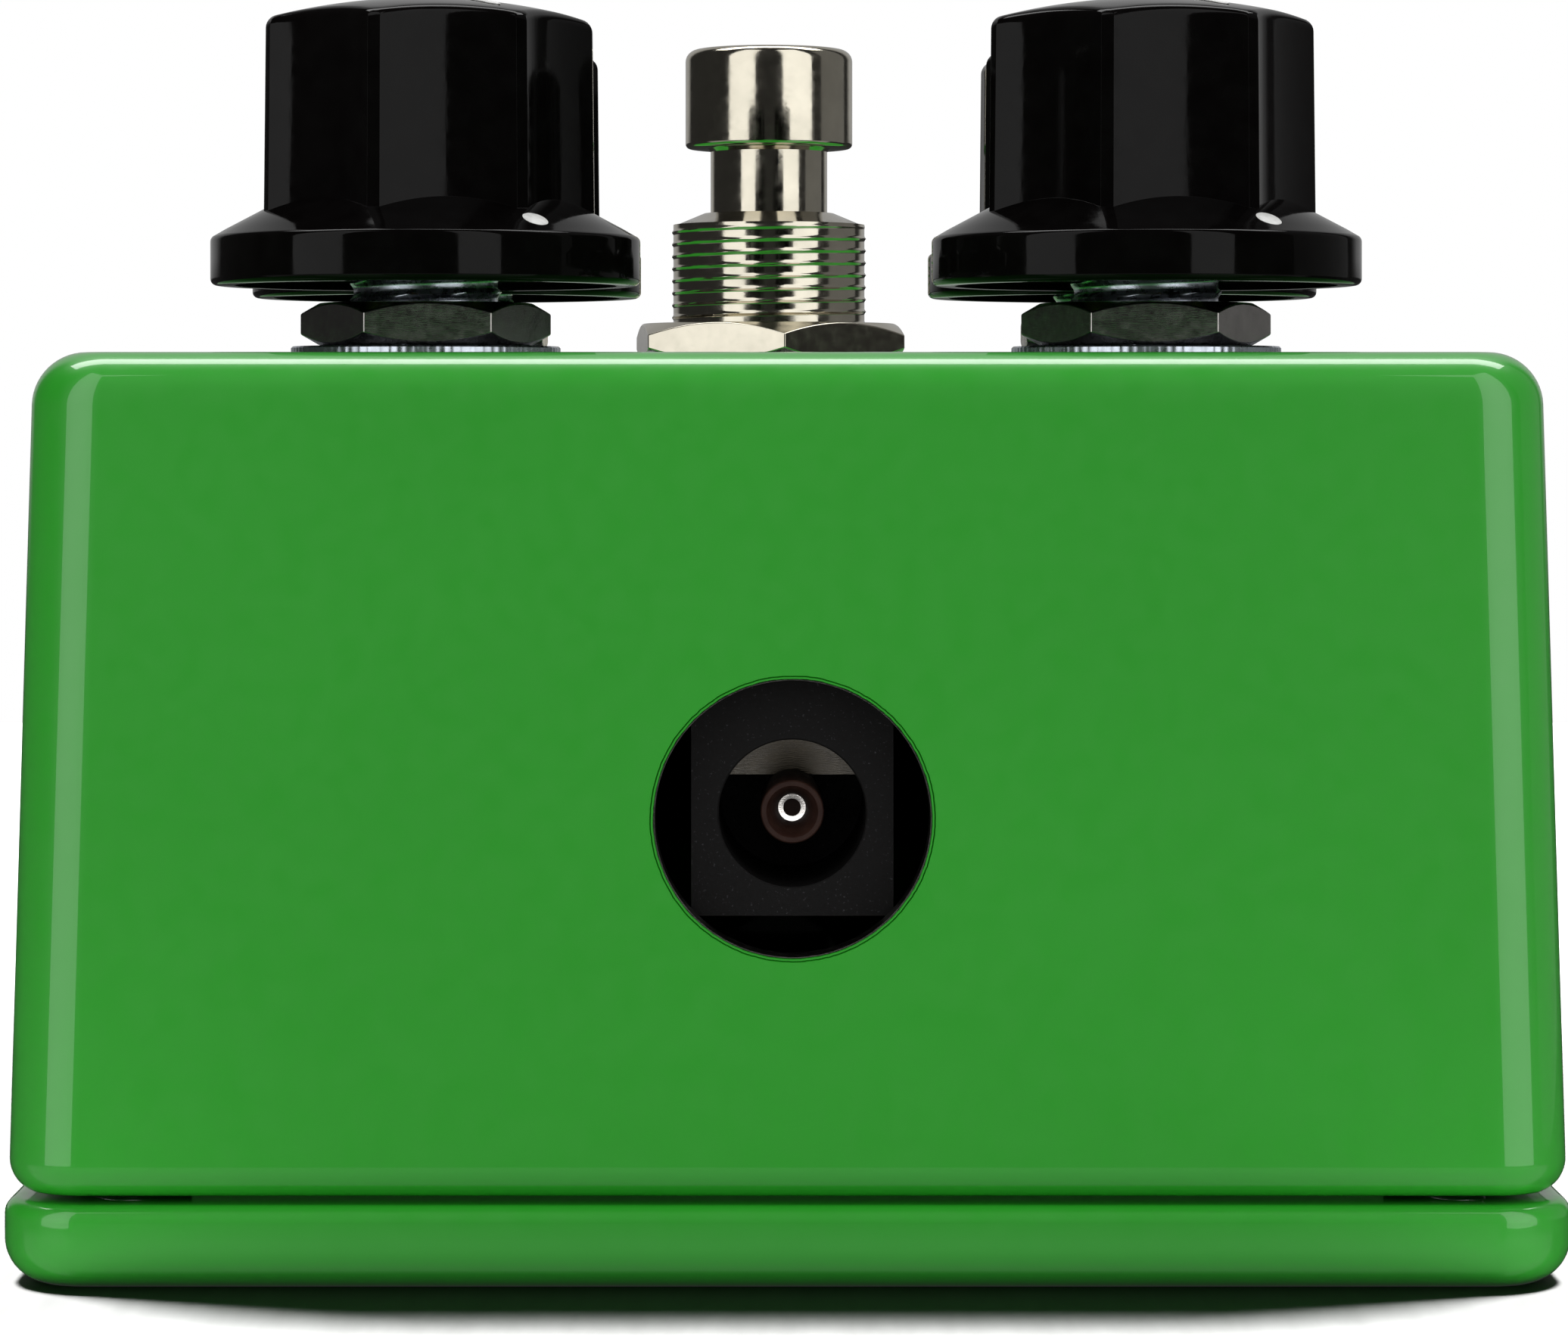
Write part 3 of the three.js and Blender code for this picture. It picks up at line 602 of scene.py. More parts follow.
def base_plate():
    """The plate under the box, its rim rounded, with a locating lip and countersunk screw holes."""
    under_round = 1.9
    rim_round = 0.7
    floor = 2.4
    lip_corner = SHELL_CORNER - WALL - 0.35
    lip_top = PLATE + 2.3
    lip_thickness = 1
    head_room = 3.1
    rim = CORNER - 0.12        # the pressed plate is a touch smaller than its nominal outline
    plate = rounded_box("base_plate_body", [
        (None, 0),
        *arc(rim - under_round, under_round, under_round, -90, 0, 12),
        *arc(rim - rim_round, PLATE - rim_round, rim_round, 0, 90, 8),
        (None, PLATE),
    ])
    lip = rounded_box("lip", [
        (None, floor), (lip_corner, floor), (lip_corner, lip_top - 0.2),
        (lip_corner - 0.2, lip_top), (None, lip_top),
    ])
    boolean(plate, [lip], "UNION")
    boolean(plate, [rounded_box("hollow", [
        (None, floor), (lip_corner, floor), (lip_corner, lip_top + THROUGH), (None, lip_top + THROUGH),
    ], inset=lambda z: CORNER + lip_thickness)])
    boolean(plate, at_screws(rod, BOSS_RADIUS, floor - THROUGH, PLATE), "UNION")
    tools = at_screws(rod, BOSS_RADIUS + 0.5, PLATE, lip_top + THROUGH)
    tools += at_screws(lathe, "screw_room", [
        (0, -THROUGH), (head_room, -THROUGH), (head_room, 0.5), (SCREW_HOLE, 2.1),
        (SCREW_HOLE, PLATE + THROUGH), (0, PLATE + THROUGH),
    ])
    boolean(plate, tools)
    finish_piece(keep_faces_flat(plate), "green_enamel", "base_plate")


def base_plate_screw(number, spot):
    """A countersunk screw, head down, with a cross recess and a thread."""
    place = at(spot.x, spot.y, 0)
    head, shank, point = 2.8, 1.5, 1
    under, tip = 0.2, 14
    sides = 32
    rings = [circle(radius, z, sides) for radius, z in (
        (0, under), (head - 0.25, under), (head, under + 0.15), (head, 0.5), (shank, 1.9))]
    rings += thread_rings(shank, 0.5, 0.22, 2.2, 13.4, sides, per_turn=6)
    rings += [circle(point, tip, sides), circle(0, tip, sides)]
    screw = loft(f"base_plate_screw_{number}_body", rings, place)
    turned = place @ Matrix.Rotation(random.uniform(0, TAU), 4, "Z")
    boolean(screw, [block("recess", (-half_x, -half_y, -1), (half_x, half_y, 1.2), turned, bevel=0)
                    for half_x, half_y in ((1.5, 0.35), (0.35, 1.5))])
    finish_piece(rounded_edges(screw, 0.05), "steel", f"base_plate_screw_{number}")


# ---------------------------------------------------------------- knobs and potentiometers

UNDERSIDE = 3.3                # heights are above the top face
RIM_TOP = UNDERSIDE + 2.3
SHOULDER = RIM_TOP + 9.8
CROWN = SHOULDER + 1.1
SKIRT_RADIUS = 9.88
RIBS = 7
RIB_RADIUS = 7.77
CONE_FROM = 9.7                # the ledge slopes up inwards from this radius
CONE_SLOPE = 1.35 / 2.54
SHOULDER_ROUND = 0.45
SET_SCREW_HEIGHT = 9.4
SET_SCREW_HOLE = 1.7
HALF_RIB = 0.29 / RIB_RADIUS   # an angle
GRIP_TAPER = 8.5 * math.tan(math.radians(0.6))
CROWN_RADIUS = (RIB_RADIUS ** 2 + (CROWN - SHOULDER) ** 2) / (2 * (CROWN - SHOULDER))


def grip_radius(angle):
    """The fluted grip's radius in a direction: narrow ribs with wide shallow flutes between them."""
    flute_depth = 0.31
    half_pitch = TAU / RIBS / 2
    off_rib = abs((angle + half_pitch) % (2 * half_pitch) - half_pitch)
    half_chord = RIB_RADIUS * math.sin(half_pitch - HALF_RIB)
    chord_at = RIB_RADIUS * math.cos(half_pitch - HALF_RIB)
    flute_radius = (half_chord ** 2 + flute_depth ** 2) / (2 * flute_depth)
    flute_centre = chord_at - flute_depth + flute_radius
    if off_rib <= HALF_RIB:
        return RIB_RADIUS
    along = flute_centre * math.cos(half_pitch - off_rib)
    across = flute_centre * math.sin(half_pitch - off_rib)
    return along - math.sqrt(flute_radius ** 2 - across ** 2)


def dome_height(radius):
    """Height of the knob's shallow dome at a radius."""
    return CROWN - CROWN_RADIUS + math.sqrt(CROWN_RADIUS ** 2 - radius ** 2)


def grip_angles():
    """Directions round the grip: close together at the ribs' edges, even across the flutes."""
    pitch = TAU / RIBS
    steps = 18
    angles = []
    for rib in range(RIBS):
        start = rib * pitch
        angles += [start - HALF_RIB, start - HALF_RIB / 3, start + HALF_RIB / 3]
        for step in range(steps):
            angles.append(start + HALF_RIB + (pitch - 2 * HALF_RIB) * step / steps)
    return angles


def set_screw_place(place):
    """Points from a knob's axis to its back, at the height of the set screw."""
    return place @ at(0, 0, SET_SCREW_HEIGHT) @ Matrix.Rotation(-math.pi / 2, 4, "X")


def knob_profile(angle):
    """The knob's outline in a direction, from its bore, round the skirt and up the grip to its dome."""
    body_steps = 10
    round_steps = 6
    dome_steps = 14
    bore, clearance, hollow = 4.7, 4.9, 8.8
    bore_foot, bore_top = 6.6, 13.9
    hollow_top = UNDERSIDE + 0.6
    edge = 0.3
    ledge_break = CONE_FROM - 0.5
    profile = [
        (bore, bore_top), (bore, bore_foot), (clearance, bore_foot - 0.2), (clearance, hollow_top),
        (hollow - 0.2, hollow_top), (hollow, hollow_top - 0.2), (hollow, UNDERSIDE),
        *arc(SKIRT_RADIUS - edge, UNDERSIDE + edge, edge, -90, 0, 6),
        *arc(SKIRT_RADIUS - edge, RIM_TOP - edge, edge, 0, 70, 6),
        (ledge_break, RIM_TOP + (CONE_FROM - ledge_break) * CONE_SLOPE),
    ]
    foot = grip_radius(angle)
    head = foot - GRIP_TAPER
    low = RIM_TOP + (CONE_FROM - foot) * CONE_SLOPE
    high = dome_height(head) - SHOULDER_ROUND
    for step in range(body_steps + 1):
        share = step / body_steps
        profile.append((foot + (head - foot) * share, low + (high - low) * share))
    for step in range(1, round_steps + 1):
        turn = math.pi / 2 * step / round_steps
        radius = head - SHOULDER_ROUND * (1 - math.cos(turn))
        profile.append((radius, dome_height(radius) - SHOULDER_ROUND * (1 - math.sin(turn))))
    for step in range(1, dome_steps):
        radius = (head - SHOULDER_ROUND) * (1 - step / dome_steps)
        profile.append((radius, dome_height(radius)))
    return profile


def knob_cap(name, place):
    """The knob: a skirt, a sloping ledge, a fluted grip with slight taper, and a shallow dome."""
    columns = [[polar(radius, angle - math.pi / 2, z) for radius, z in knob_profile(angle)]
               for angle in grip_angles()]
    bore_top = columns[0][0][2]
    rings = [[(0, 0, bore_top)], *zip(*columns), [(0, 0, CROWN)]]
    knob = loft(f"knob_{name}_cap", rings, place, smooth_angle=28)
    boolean(knob, [rod(SET_SCREW_HOLE, 0, 10, set_screw_place(place))])
    return finish_piece(rounded_edges(knob, 0.14, segments=3, angle=28), "knob_plastic",
                        f"knob_{name}", body=f"knob_{name}_turning")


def knob_marks(name, place):
    """A raised white line across the dome and a dot on the ledge, both at the pointer."""
    body = f"knob_{name}_turning"
    lift = 0.03
    half_width = 0.32
    inner, outer = 0.3 * RIB_RADIUS, 0.76 * RIB_RADIUS
    bm = bmesh.new()
    steps = 16
    rows = []
    for step in range(steps + 1):
        y = inner + (outer - inner) * step / steps
        from_end = min(step, steps - step) / 2
        width = max(half_width * math.sqrt(min(1, from_end)), 0.08)
        row = []
        for side, crown in ((-1, 0), (0, 0.02), (1, 0)):
            x = side * width
            z = dome_height(math.hypot(x, y)) + lift + crown
            row.append(bm.verts.new(place @ (Vector((x, -y, z)) * MM)))
        rows.append(row)
    for near, far in zip(rows, rows[1:]):
        for left in (0, 1):
            bm.faces.new((near[left], near[left + 1], far[left + 1], far[left]))
    line = new_object(f"knob_{name}_line", bm)
    thickness = line.modifiers.new("paint thickness", "SOLIDIFY")
    thickness.thickness = 0.05 * MM
    thickness.offset = 0
    line.data.materials.append(MARKING)
    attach(line, body)

    dot_at = 8.75
    dot_radius = 0.6
    lean = Matrix.Rotation(math.atan(CONE_SLOPE), 4, "X")
    seat = at(0, -dot_at, RIM_TOP + (CONE_FROM - dot_at) * CONE_SLOPE)
    dot = lathe(f"knob_{name}_dot", [
        (0, -0.06), (dot_radius, -0.06), (dot_radius, 0.0), (dot_radius * 0.9, 0.04), (0, 0.07),
    ], place @ seat @ lean, 40)
    dot.data.materials.append(MARKING)
    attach(dot, body)


def knob_inside(name, place):
    """The brass insert, the set screw in it, and the potentiometer's slotted shaft."""
    body = f"knob_{name}_turning"
    toward_back = set_screw_place(place)
    inner, outer, edge = 3.3, 4.4, 0.2
    foot, head = 6.9, 13.6
    insert = lathe(f"knob_insert_{name}_bush", [
        (inner, foot + edge), (inner + edge, foot), (outer - edge, foot), (outer, foot + edge),
        (outer, head - edge), (outer - edge, head), (inner + edge, head), (inner, head - edge),
    ], place, loop=True)
    boolean(insert, [rod(SET_SCREW_HOLE, 0, 10, toward_back)])
    finish_piece(insert, "brass", f"knob_insert_{name}", body=body)

    start, end = 3.3, 6.8
    sides = 32
    screw = loft(f"knob_set_screw_{name}_body", [
        circle(0, start, sides), circle(1.2, start, sides),
        *thread_rings(1.5, 0.5, 0.2, start + 0.05, end - 0.1, sides, per_turn=6),
        circle(1.3, end, sides), circle(0, end, sides),
    ], toward_back)
    boolean(screw, [rod(0.75, end - 1.2, end + 1.2, toward_back, sides=6)])
    finish_piece(screw, "steel", f"knob_set_screw_{name}", body=body)

    radius, groove, end_edge = 3, 2.75, 0.5
    foot, tip = -7, 13.4
    shaft = lathe(f"pot_shaft_{name}_body", [
        (0, foot), (radius - edge, foot), (radius, foot + edge), (radius, 6), (groove, 6.2),
        (groove, 6.8), (radius, 7), (radius, tip - end_edge), (radius - end_edge, tip), (0, tip),
    ], place)
    boolean(shaft, [block("slot", (-0.4, -4, tip - 2.4), (0.4, 4, tip + 0.6), place, bevel=0)])
    finish_piece(rounded_edges(shaft, 0.06), "bright_zinc", f"pot_shaft_{name}", body=body)


NUT_TURNS = {
    "front_left": math.radians(5),
    "front_right": 0,
    "rear_left": math.radians(30),
    "rear_right": math.radians(30),
}


def pot_fixed_parts(name):
    """The can and its threaded bush, the serrated washer and the hexagonal nut."""
    place = pot_place(name)
    under = box_of(f"pot_case_{name}")[0].z - TOP
    can_top = -WALL - 0.05
    bush_top = 5
    can, crimp, bush = 8.2, 8.05, 3.5
    sides = 48
    rings = [circle(radius, z, sides) for radius, z in (
        (0, under), (can - 0.2, under), (can, under + 0.2), (can, can_top - 2.2),
        (crimp, can_top - 2.0), (crimp, can_top - 1.6), (can, can_top - 1.4),
        (can, can_top - 0.4), (can - 0.4, can_top), (bush, can_top),
    )]
    rings += thread_rings(bush, 0.75, 0.18, can_top + 0.3, bush_top - 0.2, sides, crest=0.4)
    rings += [circle(bush - 0.3, bush_top, sides), circle(0, bush_top, sides)]
    case = loft(f"pot_case_{name}_can", rings, place)
    tab = block("tab", (-5.5, 7, under + 2), (5.5, 11, under + 3.2), place, bevel=0)
    boolean(case, [tab], "UNION")
    boolean(case, [rod(3.11, under + 4, bush_top + THROUGH, place)])
    finish_piece(case, "bright_zinc", f"pot_case_{name}")

    washer = serrated_washer(f"pot_washer_{name}_ring", 3.8, 6.2, 0.05, 0.5, place)
    finish_piece(washer, "bright_zinc", f"pot_washer_{name}")
    nut = hex_nut(f"pot_nut_{name}_body", 10, 3.55, 0.55, 2.5, place, turn=NUT_TURNS[name])
    finish_piece(nut, "dark_nickel", f"pot_nut_{name}")


# ---------------------------------------------------------------- footswitch

THREAD_RADIUS = 6
THREAD_TOP = 9.8               # heights are above the top face
NECK_RADIUS = 3.6
FRAME_TOP = -WALL - 0.2
SWITCH_BODY_TOP = FRAME_TOP - 1.2
WELL_FLOOR = -12
NECK_FOOT = -2.3
SWITCH_PLACE = at(SWITCH.x, SWITCH.y, TOP)


def footswitch_button():
    """A cap with a softly rounded edge, on a neck that slides in the bush."""
    cap_under, cap_top, cap_radius = 13.8, 19.9, 5.15
    lower_edge, upper_edge = 0.3, 0.75
    button = lathe("footswitch_button_cap", [
        (0, NECK_FOOT), (NECK_RADIUS - 0.2, NECK_FOOT), (NECK_RADIUS, NECK_FOOT + 0.2),
        (NECK_RADIUS, cap_under - 0.2), (NECK_RADIUS + 0.2, cap_under),
        *arc(cap_radius - lower_edge, cap_under + lower_edge, lower_edge, -90, 0, 5),
        *arc(cap_radius - upper_edge, cap_top - upper_edge, upper_edge, 0, 84, 10),
        (cap_radius * 0.5, cap_top - 0.03), (0, cap_top),
    ], SWITCH_PLACE, sides=96)
    finish_piece(button, "nickel_chrome", "footswitch_button", body="footswitch_button_moving")


def footswitch_fixed_parts():
    """The threaded bush on its plate, the toothed washer, the panel nut and the moulded body."""
    sides = 80
    bore = NECK_RADIUS + 0.12
    plate_under = FRAME_TOP - 1
    rings = [circle(bore, plate_under, sides), circle(THREAD_RADIUS, plate_under, sides)]
    rings += thread_rings(THREAD_RADIUS, 0.75, 0.1, FRAME_TOP - 0.4, THREAD_TOP - 0.7, sides,
                          per_turn=14, crest=0.6)
    rings += [circle(THREAD_RADIUS - 0.4, THREAD_TOP - 0.66, sides),
              circle(bore + 0.3, THREAD_TOP, sides), circle(bore, THREAD_TOP - 0.15, sides)]
    bush = loft("footswitch_bushing_thread", rings, SWITCH_PLACE, loop=True)
    plate_x, plate_y = 8.75, 8.5
    plate = block("plate", (-plate_x, -plate_y, plate_under), (plate_x, plate_y, FRAME_TOP),
                  SWITCH_PLACE, bevel=0)
    boolean(plate, [rod(THREAD_RADIUS - 0.6, plate_under - THROUGH, FRAME_TOP + THROUGH, SWITCH_PLACE)])
    boolean(bush, [plate], "UNION")
    finish_piece(bush, "nickel_chrome", "footswitch_bushing")

    washer = serrated_washer("footswitch_washer_ring", 6.3, 8.6, 0.05, 0.6, SWITCH_PLACE, teeth=60)
    finish_piece(washer, "bright_zinc", "footswitch_washer")
    nut = hex_nut("footswitch_nut_body", 15.7, 6.05, 0.65, 3, SWITCH_PLACE, turn=math.radians(36))
    finish_piece(nut, "nickel_chrome", "footswitch_nut")

    under = -18.5
    half_x, half_y = 8.5, 8.2
    body = block("footswitch_body_moulding", (-half_x, -half_y, under), (half_x, half_y, SWITCH_BODY_TOP),
                 SWITCH_PLACE, bevel=0)
    boolean(body, [rod(4.2, WELL_FLOOR, SWITCH_BODY_TOP + THROUGH, SWITCH_PLACE)])
    rounded_edges(body, 0.4, 3)
    lug_end = box_of("switch_board")[1].z - TOP + 0.05
    lugs = [block("lug", (x - 1.2, y - 0.4, lug_end), (x + 1.2, y + 0.4, under + 0.2),
                  SWITCH_PLACE, bevel=0.1)
            for x in (-5.3, 0, 5.3) for y in (-4.8, 0, 4.8)]
    finish_piece(merged("footswitch_body_with_lugs", [body, *lugs]), "black_moulding", "footswitch_body")


def spring_tube(name, radius, wire, z0, z1, turns, place):
    """A helix of round wire with closed ends."""
    steps = 24 * turns
    sides = 12
    up = Vector((0, 0, 1))
    rings = []
    for k in range(steps + 1):
        share = k / steps
        angle = TAU * turns * share
        out = Vector((math.cos(angle), math.sin(angle), 0))
        middle = out * radius + up * (z0 + (z1 - z0) * share)
        rings.append([middle + out * x + up * y for x, y, _ in circle(wire, 0, sides)])
    return loft(name, rings, place)


def footswitch_spring():
    """The return spring, a helix between the well's floor and the foot of the button's neck."""
    wire = 0.35
    foot, head = WELL_FLOOR + wire + 0.3, NECK_FOOT - wire - 0.3
    spring = spring_tube("footswitch_spring_wire", 2.9, wire, foot, head, 5, SWITCH_PLACE)
    finish_piece(spring, "steel", "footswitch_spring")
    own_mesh(spring)


# ---------------------------------------------------------------- audio sockets


def audio_socket(name, turn):
    """A moulded body with a tip contact, a threaded bush, a washer and a nut, in a side wall."""
    axis = AUDIO[name]
    upright = at(0, axis.y, axis.z) @ Matrix.Rotation(turn, 4, "Z")
    outward = upright @ ALONG_X
    low, high = box_of("output_socket_body")
    bush_start, bush_end = (corner.x for corner in box_of("output_socket_bushing"))
    washer_start, washer_end = (corner.x for corner in box_of("output_socket_washer"))
    nut_start, nut_end = (corner.x for corner in box_of("output_socket_nut"))
    bore = 3.2
    half_y = (high.y - low.y) / 2
    half_z = (high.z - low.z) / 2

    body = block(f"{name}_socket_body_moulding", (low.x, -half_y, -half_z), (high.x, half_y, half_z),
                 upright, bevel=0)
    boolean(body, [
        rod(bore, low.x + 1.5, high.x + THROUGH, outward),
        rod(AUDIO_HOLE, bush_start - 0.3, high.x + THROUGH, outward),
        block("slot", (low.x + 1.6, -1.9, 2.2), (18.4, 1.9, half_z + THROUGH), upright, bevel=0),
    ])
    finish_piece(rounded_edges(body, 0.3, 3), "black_moulding", f"{name}_socket_body")

    sides = 72
    thread = 4.7
    rings = [circle(bore, bush_start + 0.2, sides), circle(bore + 0.2, bush_start, sides),
             circle(thread - 0.4, bush_start, sides)]
    rings += thread_rings(thread, 0.8, 0.32, bush_start + 0.2, bush_end - 0.35, sides)
    rings += [circle(thread - 0.5, bush_end, sides), circle(bore + 0.3, bush_end, sides),
              circle(bore, bush_end - 0.3, sides)]
    bush = loft(f"{name}_socket_bushing_thread", rings, outward, loop=True)
    finish_piece(bush, "nickel_chrome", f"{name}_socket_bushing")

    washer = serrated_washer(f"{name}_socket_washer_ring", 5.0, 7.4, washer_start, washer_end,
                             outward, teeth=60)
    finish_piece(washer, "bright_zinc", f"{name}_socket_washer")
    nut = hex_nut(f"{name}_socket_nut_body", 12.7, 4.75, nut_start, nut_end, outward)
    finish_piece(nut, "nickel_chrome", f"{name}_socket_nut")

    half_width, metal_thickness = 1.5, 0.35
    leaf_x, leaf_z = 7, 2.6
    contact = merged(f"{name}_socket_contact_leaf", [
        block("leaf", (leaf_x, -half_width, leaf_z), (leaf_x + 11, half_width, leaf_z + metal_thickness),
              upright, bevel=0.08),
        block("lug", (leaf_x, -half_width, leaf_z + 0.2), (leaf_x + metal_thickness, half_width, leaf_z + 6),
              upright, bevel=0.08),
    ])
    finish_piece(contact, "brass", f"{name}_socket_contact")


# ---------------------------------------------------------------- power socket

BARREL_RADIUS = 3.1
BARREL_DEPTH = 9.5


def power_socket():
    """The moulded body with its round barrel, the pin in its insulator, and the sleeve contact's leaf.

    A thin ring shows the bare metal inside the drilled hole in front of them.
    """
    low, high = box_of("power_socket_body")
    place = at(POWER.x, POWER_FACE_Y, POWER.z)
    inward = place @ INTO_Y
    half_width = (high.x - low.x) / 2
    length = high.y - low.y
    under = low.z - POWER.z
    top = high.z - POWER.z

    bare = POWER_HOLE - 0.02
    bare_wall = lathe("power_hole_bare_metal", [
        (bare, 0.15), (bare, WALL), (bare - 0.04, WALL), (bare - 0.04, 0.15),
    ], POWER_HOLE_PLACE, sides=240, loop=True)
    finish_piece(bare_wall, "dark_nickel")

    body = block("power_socket_body_moulding", (-half_width, 0, under), (half_width, length, top),
                 place, bevel=0)
    edge = 0.06
    mouth = lathe("barrel", [
        (0, -THROUGH), (BARREL_RADIUS + edge, -THROUGH), (BARREL_RADIUS + edge, 0), (BARREL_RADIUS, edge),
        (BARREL_RADIUS, BARREL_DEPTH), (0, BARREL_DEPTH),
    ], inward, sides=96)
    boolean(body, [
        mouth,
        rod(1.35, 0, length - 2, inward),
        block("slot", (-1.5, BARREL_DEPTH - 2.5, 1.4), (1.5, length + THROUGH, 2.8), place, bevel=0),
    ])
    finish_piece(rounded_edges(body, 0.12, 2), "black_moulding", "power_socket_body")

    hole, dish, tip = 0.38, 0.58, 1.05
    mouth_depth, dish_depth = 0.88, 3.1
    pin = lathe("power_socket_pin_post", [
        (0, 9), (hole, 9), (hole, dish_depth), (dish, dish_depth - 0.03),
        (dish + 0.1, dish_depth - 0.03), (tip, 1.4), (tip, 12.1), (0, 12.1),
    ], inward, sides=96)
    finish_piece(pin, "dark_nickel", "power_socket_pin")
    ring = lathe("ring", [
        (dish, dish_depth - 0.05), (tip, mouth_depth), (tip + 0.05, mouth_depth - 0.05),
        (1.28, mouth_depth - 0.05), (1.33, mouth_depth), (1.33, 7), (tip + 0.03, 7), (tip + 0.03, 1.3),
        (dish + 0.05, dish_depth - 0.05),
    ], inward, sides=96, loop=True)
    plug = rod(hole - 0.02, dish_depth + 0.15, dish_depth + 0.6, inward)
    insulator = merged("power_socket_pin_insulator", [ring, plug])
    insulator.data.materials.append(INSULATOR)
    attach(insulator, "housing")

    foot, radius, front = 1.06, BARREL_RADIUS - 0.04, 7.6
    start = math.asin(foot / radius)
    steps = 32
    outline = []
    for step in range(steps + 1):
        angle = start + (math.pi - 2 * start) * step / steps
        outline.append((radius * math.cos(angle), radius * math.sin(angle)))
    upright = loft("leaf", [[(x, y, z) for x, z in outline] for y in (front, front + 0.25)], place)
    tail = block("tail", (-1.2, front + 0.2, 1.6), (1.2, 15, 1.85), place, bevel=0)
    leaf = merged("power_socket_contact_leaf", [upright, tail])
    finish_piece(leaf, "dark_nickel", "power_socket_contact")
    return pin, leaf


# ---------------------------------------------------------------- electronics

LIGHT_RADIUS = 2.5


def indicator_light():
    """A 5 mm light: a domed lens with a flange, on two square legs."""
    low, high = box_of("indicator_light")
    place = at(LIGHT.x, LIGHT.y, 0)
    base = high.z - 8.6
    flange, flange_top = 2.9, base + 1
    chamfer = 0.15
    lens = lathe("lens", [
        (0, base), (flange - chamfer, base), (flange, base + chamfer), (flange, flange_top - chamfer),
        (flange - chamfer, flange_top), (LIGHT_RADIUS, flange_top),
        *arc(0, high.z - LIGHT_RADIUS, LIGHT_RADIUS, 0, 90, 16)[:-1], (0, high.z),
    ], place)
    legs = [block("leg", (x - 0.25, -0.25, low.z), (x + 0.25, 0.25, base + 0.3), place, bevel=0.05)
            for x in (-1.27, 1.27)]
    finish_piece(merged("indicator_light_lens", [lens, *legs]), "light_epoxy", "indicator_light")


def circuit_boards():
    """The two boards, each with solder joints proud of its underside."""
    for name, across, along in (("main_board", 9, 10), ("switch_board", 4, 4)):
        low, high = box_of(name)
        parts = [block("board", low, high, bevel=0.12)]
        joint = [(radius, low.z + z) for radius, z in (
            (0, -0.7), (0.25, -0.65), (0.4, -0.3), (0.9, 0.05), (0, 0.05))]
        for i in range(across):
            for j in range(along):
                if random.random() < 0.45:
                    continue
                x = low.x + (high.x - low.x) * (i + 0.5) / across
                y = low.y + (high.y - low.y) * (j + 0.5) / along
                parts.append(lathe("joint", joint, at(x, y, 0), sides=12))
        finish_piece(merged(f"{name}_with_joints", parts), "circuit_board", name)


def amplifier_chip():
    """An eight-pin package: sloped sides, a notch at one end and bent legs."""
    place = foot_of("amplifier_chip")
    half_x, half_y = 3.2, 4.8

    def ring(inset, z):
        x, y = half_x - inset, half_y - inset
        return [(x, y, z), (-x, y, z), (-x, -y, z), (x, -y, z)]

    package = loft("package", [ring(0.25, 0.6), ring(0, 2.1), ring(0, 2.3), ring(0.25, 3.9)], place)
    boolean(package, [rod(0.8, 3.5, 5, place @ at(0, half_y, 0), sides=24),
                      rod(0.45, 3.7, 5, place @ at(-2, half_y - 1.4, 0), sides=24)])
    rounded_edges(package, 0.08)
    parts = [package]
    pitch = 2.54
    for step in (-1.5, -0.5, 0.5, 1.5):
        for side in (-1, 1):
            for name, x_in, half_y_leg, z0, z1 in (("shoulder", -0.05, 0.7, 1.6, 1.85),
                                                   ("leg", 0.45, 0.3, 0, 1.7)):
                near, far = sorted((side * (half_x + x_in), side * (half_x + 0.7)))
                parts.append(block(name, (near, step * pitch - half_y_leg, z0),
                                   (far, step * pitch + half_y_leg, z1), place, bevel=0.05))
    finish_piece(merged("amplifier_chip_package", parts), "black_moulding", "amplifier_chip")


def capacitor(number):
    """A radial electrolytic: a sleeved can with a crimped foot and a scored top."""
    low, high = box_of(f"capacitor_{number}")
    place = foot_of(f"capacitor_{number}")
    height = high.z - low.z
    radius, edge = 3.1, 0.3
    crimp_depth, top_depth = 0.23, 0.1
    can = lathe(f"capacitor_{number}_can", [
        (0, 0), (radius - 0.2, 0), (radius, 0.2), (radius, 0.8), (radius - 0.15, 1.0),
        (radius - crimp_depth, 1.2), (radius - 0.15, 1.4), (radius, 1.6),
        *arc(radius - edge, height - edge, edge, 0, 80, 5),
        (2.5, height), (2.45, height - top_depth), (0, height - top_depth),
    ], place)
    boolean(can, [block("score", (-x, -y, height - 0.25), (x, y, height + THROUGH), place, bevel=0)
                  for x, y in ((1.8, 0.12), (0.12, 1.8))])
    finish_piece(can, "black_sleeve", f"capacitor_{number}")


def board_ribbon():
    """The flat cable between the boards: parallel round cores, laid in a slack S."""
    low, high = box_of("board_ribbon")
    half_width = (high.x - low.x) / 2
    cores = 6
    thickness = 0.7
    per_core = 8
    steps = 40
    middle_x = (low.x + high.x) / 2
    start_z, end_z = high.z - 0.4, low.z + 0.4
    rings = []
    for step in range(steps + 1):
        share = step / steps
        y = low.y + (high.y - low.y) * share
        z = start_z + (end_z - start_z) * (share * share * (3 - 2 * share))
        upper, lower = [], []
        for i in range(cores * per_core + 1):
            across = i / per_core
            x = middle_x - half_width + 2 * half_width * across / cores
            swell = thickness / 2 * (0.45 + 0.55 * abs(math.sin(math.pi * across)))
            upper.append((x, y, z + swell))
            lower.append((x, y, z - swell))
        rings.append(upper + lower[::-1])
    ribbon = loft("board_ribbon_cores", rings)
    finish_piece(ribbon, "ribbon_insulation", "board_ribbon")


